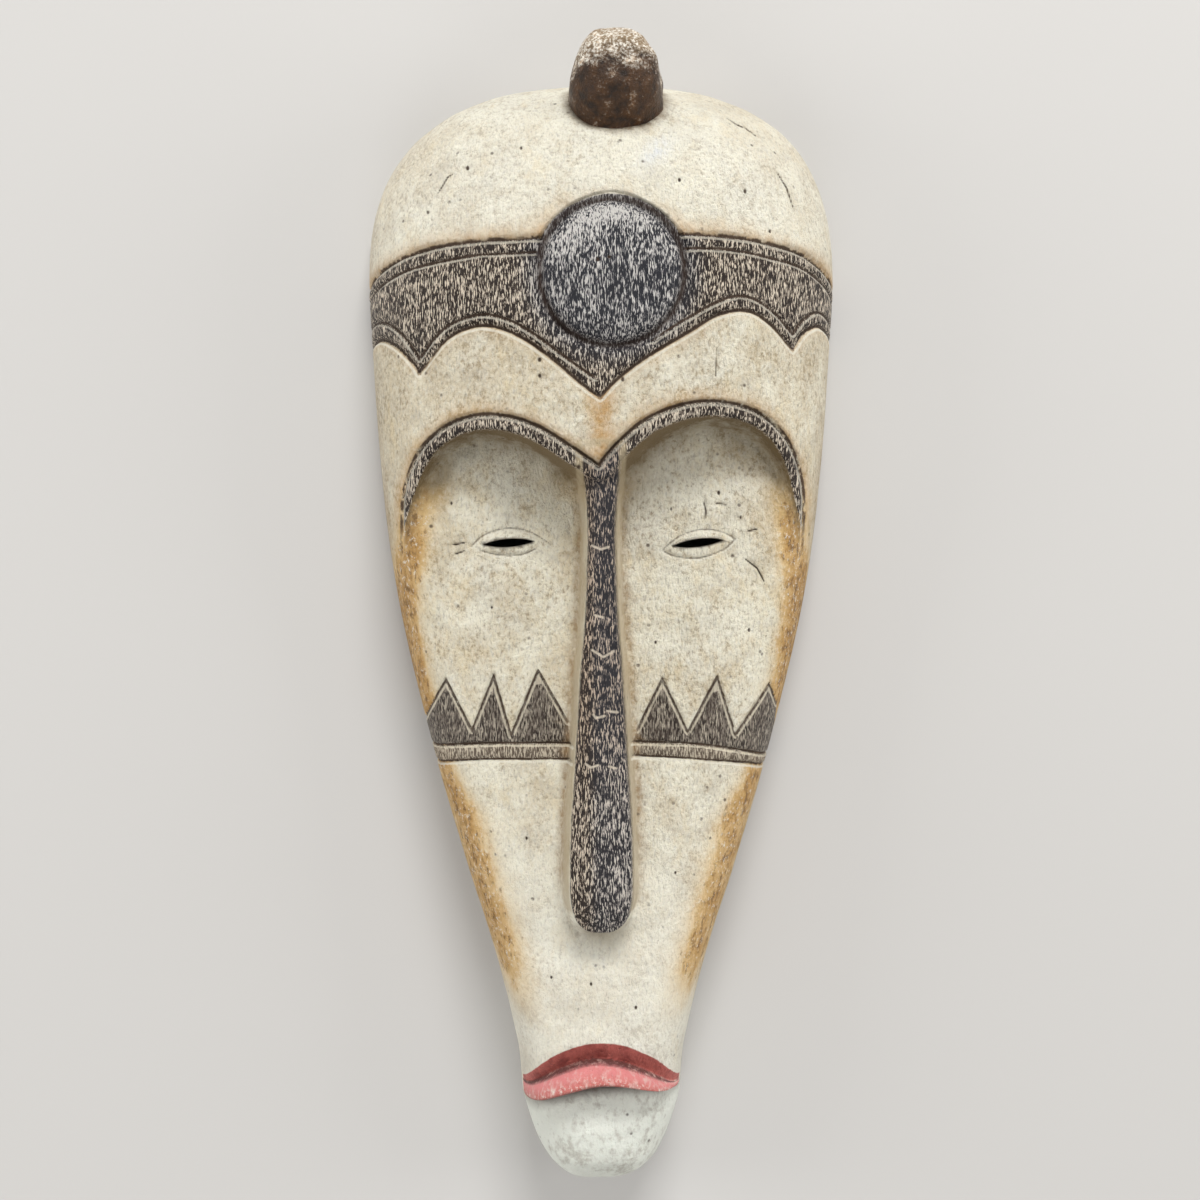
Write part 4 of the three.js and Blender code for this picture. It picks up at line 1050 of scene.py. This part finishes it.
white = paint.over(white, ochre * 1.3 + dust.swing(7) + streak.swing(3) - 1.45, 0.8, OCHRE_DARK)
white = paint.mix(((speck - 0.56) * 14).clamped() * ochre * 0.7, white, CHALK)
white = paint.over(white, area("edge") * (mottle * 3 - 0.6), 0.8, OCHRE_BROWN)
stain = area("stain") * (0.2 + dust * 1.5) + blotch.swing(0.6) - 0.15
white = paint.over(white, stain, 0.85, OCHRE)
white = paint.over(white, area("under_brow") * (mottle * 1.6 + grain - 0.2), 0.95, BROW_SHADE)
white = paint.over(white, area("patch") * (streak * 2.6 - 0.7), 0.7, PATCH_WHITE)
# The chin's cool white is partly its own kaolin and partly painted light on a face that turns down.
chin = area("chin")
white = paint.mix(chin * 0.85, white, CHIN_LIT_WHITE)
white = paint.over(white, chin * ((dust - 0.54) * 5 + blotch.swing(4)), 0.55, GREY_BROWN)

# The dark paint
# Blackish brown, a bluer black on the boss and the nose. A rasp has scraped it in short strokes down
# to cream flecks, over a half worn brown. Between the double lines it is nearly gone.
BLACK_BROWN, BLACK_BLUE = (0.022, 0.013, 0.009), (0.016, 0.017, 0.024)
WORN_BROWN, WORN_BLUE = (0.20, 0.135, 0.09), (0.135, 0.13, 0.145)
FLECK, FLECK_BLUE, FLECK_DENSE = (0.82, 0.72, 0.58), (0.74, 0.71, 0.67), (0.55, 0.41, 0.29)
STRIP_DARK, STRIP_PALE = (0.10, 0.068, 0.046), (0.60, 0.52, 0.40)
TOOTH_DARK = (0.07, 0.05, 0.04)

strip = (area("strip") + dust.swing(2)).above(-0.3, 0.5)
strip_tone = paint.mix((rasp.swing(9) + 0.35).clamped(), STRIP_DARK, STRIP_PALE)
white = paint.mix(strip * 0.95, white, strip_tone)

blue = area("blue")
dense = area("dense")
black = paint.mix(blue, BLACK_BROWN, BLACK_BLUE)
half_worn = paint.mix(blue, WORN_BROWN, WORN_BLUE)
fleck = paint.mix(dense * 0.75, paint.mix(blue, FLECK, FLECK_BLUE), FLECK_DENSE)
scraped = rasp.swing(15 - blue * 5) + streak.swing(2) + dust.swing(1.6) + mottle.swing(2.2)
# The top of the boss is scraped lighter: wear, and a painted highlight where the light falls on the dome.
scraped = scraped + 0.14 + blue * 0.1 - dense * 0.2 + area("disc_top_wear_and_sheen") * (0.7 + streak * 1.8)
teeth = area("teeth").above(-0.5, 0.5)
dark_paint = paint.mix(scraped.clamped(), black, half_worn)
dark_paint = paint.over(dark_paint, scraped * 1.1 - 0.5, 0.92, fleck)
dark_paint = paint.over(dark_paint, teeth * ((rasp - 0.42) * 7), 0.75, GREY_BROWN)
dark_paint = paint.over(dark_paint, teeth * ((streak - 0.46) * 9), 0.6, TOOTH_DARK)
dark = (area("dark") + dust.swing(1.6) + rasp.swing(1.6)).above(-0.35, 0.35)
skin = paint.mix(dark, white, dark_paint)

# The lips
# A dull red on the upper lip and a chalky pink, glossier, on the lower one. Both are rubbed, and
# the line between them is painted near black.
RED, RED_DARK, RED_BLACK = (0.62, 0.16, 0.13), (0.30, 0.055, 0.045), (0.05, 0.015, 0.012)
PINK, PINK_PALE = (0.84, 0.29, 0.285), (0.86, 0.62, 0.56)
MOUTH_BLACK = (0.09, 0.02, 0.016)

upper = (area("upper_lip") + dust.swing(1.6)).above(-0.4, 0.4)
lower = (area("lower_lip") + dust.swing(1.6)).above(-0.4, 0.4)
lip_place = area("lip_place")
red = paint.mix(((mottle - 0.45) * 3 + dust.swing(2)).clamped(), RED, RED_DARK)
red = paint.over(red, (0.43 - speck) * 7, 0.8, RED_BLACK)
pink = paint.mix(((0.85 - lip_place).above(0, 0.5) * (0.5 + mottle)).clamped(), PINK, RED)
pink = paint.over(pink, dust.swing(4) + streak.swing(3), 0.7, PINK_PALE)
pink = paint.over(pink, (0.42 - speck) * 7, 0.6, RED)
flecked = ((speck - 0.54) * 14).clamped() * (0.8 - lip_place).above(0, 0.3)
pink = paint.mix(flecked * 0.8, pink, CHALK)
pink = paint.mix((0.42 - lip_place).above(0, 0.15) * (0.3 + dust), pink, RED_DARK)
skin = paint.mix(upper, skin, red)
skin = paint.mix(lower, skin, pink)
between = (0.06 - (lip_place - 1.0).size()).above(0, 0.05) * (upper + lower).clamped()
skin = paint.over(skin, between * (0.5 + dust), 0.9, MOUTH_BLACK)

# Soot, painted shade and painted highlights
# Painted shade lies on the nose's walls, ochre and painted shade at their foot, and a painted shadow
# under its tip. Soot and painted shade lie in the cuts, and a painted highlight on their lower edges.
# The nail's hole, the back and the hollow are bare wood.
WALL_SHADE_BROWN, FOOT_OCHRE_SHADE, TIP_SHADOW_BROWN = (0.55, 0.45, 0.29), (0.34, 0.21, 0.09), (0.24, 0.18, 0.10)
HIGHLIGHT_WHITE, HIGHLIGHT_DARK, HIGHLIGHT_TEETH = (0.86, 0.82, 0.70), (0.60, 0.555, 0.46), (0.80, 0.72, 0.56)
SOOT_AND_SHADE, MOAT_DARK, LIP_SHADOW = (0.075, 0.045, 0.028), (0.05, 0.028, 0.018), (0.07, 0.042, 0.03)
SLIT_SHADE_BLACK, KNOB_SHADOW_BROWN = (0.03, 0.018, 0.012), (0.16, 0.095, 0.04)
WOOD, WOOD_DARK = (0.33, 0.20, 0.105), (0.12, 0.065, 0.032)
PIT_SPACING, PAINT_RELIEF, PAINT_SPECULAR = 11, 1.6, 0.3

# Painted shade: a darker brown on the nose's walls, and ochre with painted shade at their foot.
skin = paint.over(skin, area("nose_wall_shade") * (0.35 + mottle), 0.8, WALL_SHADE_BROWN)
skin = paint.over(skin, area("nose_foot_ochre_shade") * (dust * 2.8 - 0.7), 0.8, FOOT_OCHRE_SHADE)
# Painted shadow under the nose's tip, made uneven by noise.
nose_tip_shadow = (area("nose_tip_shadow") * (0.6 + dust)).clamped() * 0.75
skin = paint.mix(nose_tip_shadow * (1 - dark), skin, TIP_SHADOW_BROWN)
# Painted highlight along the lower edge of each cut: light on the white, darker on the dark paint, warmer
# on the teeth and strips.
lit = paint.mix(dark, HIGHLIGHT_WHITE, HIGHLIGHT_DARK)
lit = paint.mix(teeth + strip, lit, HIGHLIGHT_TEETH)
unsteady = dust.swing(0.5)
ridge = (0.56 - area("to_edge") + unsteady).above(0, 0.3) * area("lit_edge")
skin = paint.over(skin, ridge * (0.3 + dust), 0.85, lit)
# Soot and painted shade at the bottom of each cut, and in its pits and cracks.
bottom = (0.5 - area("to_bottom") + unsteady).above(0, 0.26) * area("soot_and_shade")
cut = bottom + area("pitted").above(0.2, 0.75)
skin = paint.mix(area("nicked").above(0.2, 0.7) * 0.8, skin, FLECK)
skin = paint.over(skin, cut * (0.6 + dust * 0.9), 0.95, SOOT_AND_SHADE)
# The walls of the eye slits are painted near black, as shade.
skin = paint.mix(area("slit_shade"), skin, SLIT_SHADE_BLACK)
# Painted shadow where the knob meets the crown.
skin = paint.over(skin, area("knob_foot_shadow").above(0.08, 0.8) * (0.4 + dust), 0.9, KNOB_SHADOW_BROWN)
# The moat round the boss is painted dark, most at its top.
skin = paint.over(skin, area("moat") * (0.7 + dust * 0.6), 0.9, MOAT_DARK)
# Painted shadow under the lower lip.
skin = paint.over(skin, area("under_lip_shadow") * 1.5, 0.85, LIP_SHADOW)
bare = area("bare")
wood = paint.mix(((streak - 0.4) * 3).clamped(), WOOD, WOOD_DARK)
skin = paint.mix(bare, skin, wood)
pits = paint.node("ShaderNodeTexVoronoi", {"feature": "F1"},
                  {"Vector": paint.place, "Scale": 1 / (PIT_SPACING * MM)})
pit = ((0.13 - pits) * 14).clamped() * ((cloud - 0.44) * 8).clamped() * (1 - dark)
skin = paint.mix(pit * 0.8 * (1 - bare), skin, SOOT_AND_SHADE)
paint.link(skin, "Base Color")
paint.link(0.72 - dark * 0.22 - upper * 0.2 - lower * 0.25 + grain.swing(0.15), "Roughness")
height = speck.swing(2.2) + grain.swing(1.3) + dust.swing(0.6) + dark * (rasp - 0.5) * 1.4 - pit * 0.8
paint.bump(height, PAINT_RELIEF)
paint.even("Specular IOR Level", PAINT_SPECULAR)
paint.cover(mask)

# The knob's surface
# Hands and smoke have made it dark and greasy, and dust and old whitewash lie on what faces up when
# the mask hangs. What faces up is also painted lighter, as painted light from above.
KNOB_BLACK, KNOB_BROWN = (0.014, 0.006, 0.002), (0.085, 0.034, 0.007)
KNOB_LIT_DUST, KNOB_LIT_DUST_BROWN, KNOB_OCHRE = (0.72, 0.68, 0.60), (0.22, 0.155, 0.09), (0.46, 0.24, 0.07)
KNOB_RELIEF = 1.4

greasy = Sheet("knob_wood")
spots = greasy.noise(7, stretch=(1, 1, 1), detail=4, rough=0.65, shift=2)
fine = greasy.noise(1.6, stretch=(1, 1, 1), detail=3, rough=0.65, shift=6)
# Lighter where the knob faces up: dust and whitewash, and painted light from above.
dust_and_light = greasy.area("to_crown").above(-0.15, 0.6)
tone = greasy.mix((spots - 0.35).above(0, 0.35), KNOB_BLACK, KNOB_BROWN)
top = greasy.mix(((0.54 - fine) * 5 + (0.5 - spots) * 3 + 0.5).clamped(), KNOB_LIT_DUST, KNOB_LIT_DUST_BROWN)
top = greasy.over(top, (spots - 0.6) * 8, 0.6, KNOB_OCHRE)
tone = greasy.mix((dust_and_light + fine.swing(1.0) + spots.swing(1.2)).above(0.15, 0.8), tone, top)
greasy.link(tone, "Base Color")
greasy.link(0.42 + dust_and_light * 0.35, "Roughness")
greasy.bump(fine + spots * 1.6, KNOB_RELIEF)
greasy.even("Specular IOR Level", PAINT_SPECULAR)
greasy.cover(knob)

for piece in (mask, knob):
    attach(piece, "root")
    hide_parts("mask")

# The table
# A pale plain sheet, on which the mask lies face up. The light is a large soft one from the crown's
# side, with weak ones from below the chin and from both sides.
TABLE_HALF = 4
FACE_MIDDLE = (0, 0, 0.05)
sheet_mesh = bpy.data.meshes.new("table")
table_corners = [(x * TABLE_HALF, y * TABLE_HALF, 0) for x, y in ((-1, -1), (1, -1), (1, 1), (-1, 1))]
sheet_mesh.from_pydata(table_corners, [], [(0, 1, 2, 3)])
table = placed("table", sheet_mesh)
pale = Sheet("pale_table")
pale.even("Base Color", (0.48, 0.47, 0.455, 1))
pale.even("Roughness", 0.85)
pale.cover(table)
table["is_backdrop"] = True

world = bpy.data.worlds.new("room")
bpy.context.scene.world = world
world.use_nodes = True
world.node_tree.nodes["Background"].inputs["Color"].default_value = (1.0, 0.98, 0.95, 1)
world.node_tree.nodes["Background"].inputs["Strength"].default_value = 0.5


def lamp(name, size, power, place, aim):
    """A rectangular area light at a place, turned to face a point."""
    light = bpy.data.lights.new(name, "AREA")
    light.shape = "RECTANGLE"
    light.size, light.size_y = size
    light.energy = power
    holder = placed(name, light)
    holder.location = place
    direction = np.array(aim) - np.array(place)
    yaw = math.atan2(direction[0], direction[1])
    drop = math.atan2(-direction[2], math.hypot(direction[0], direction[1]))
    holder.rotation_euler = (math.pi / 2 - drop, 0, -yaw)


lamp("key", size=(1.7, 1.0), power=200, place=(0.5, 3.6, 2.5), aim=FACE_MIDDLE)
lamp("fill", size=(1.5, 1.5), power=20, place=(-0.3, -2.1, 1.4), aim=(0, -0.2, 0.05))
lamp("left", size=(1.0, 1.6), power=24, place=(-2.2, 0.3, 0.7), aim=FACE_MIDDLE)
lamp("right", size=(1.0, 1.6), power=24, place=(2.2, 0.3, 0.7), aim=FACE_MIDDLE)

# The camera
# It looks straight down from in front of the brow, a little tilted, so the frame is as in the
# photograph.
camera = bpy.data.cameras.new("camera")
camera.lens, camera.sensor_width = 39, 36
eye = placed("camera", camera)
eye.location = (-0.0006, 0.06126, 0.870)
eye.rotation_euler = (math.radians(-3), 0, 0)
bpy.context.scene.camera = eye
bpy.context.scene.view_settings.view_transform = "Standard"
bpy.context.scene.view_settings.look = "None"

seen_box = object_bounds()


def plain(value):
    """Vectors as plain lists of numbers."""
    if isinstance(value, dict):
        return {str(k): plain(v) for k, v in value.items()}
    if isinstance(value, (str, bool, int, float)) or value is None:
        return value
    return [plain(v) for v in value]


{"cad": plain(cad_box), "visual": plain(seen_box)}
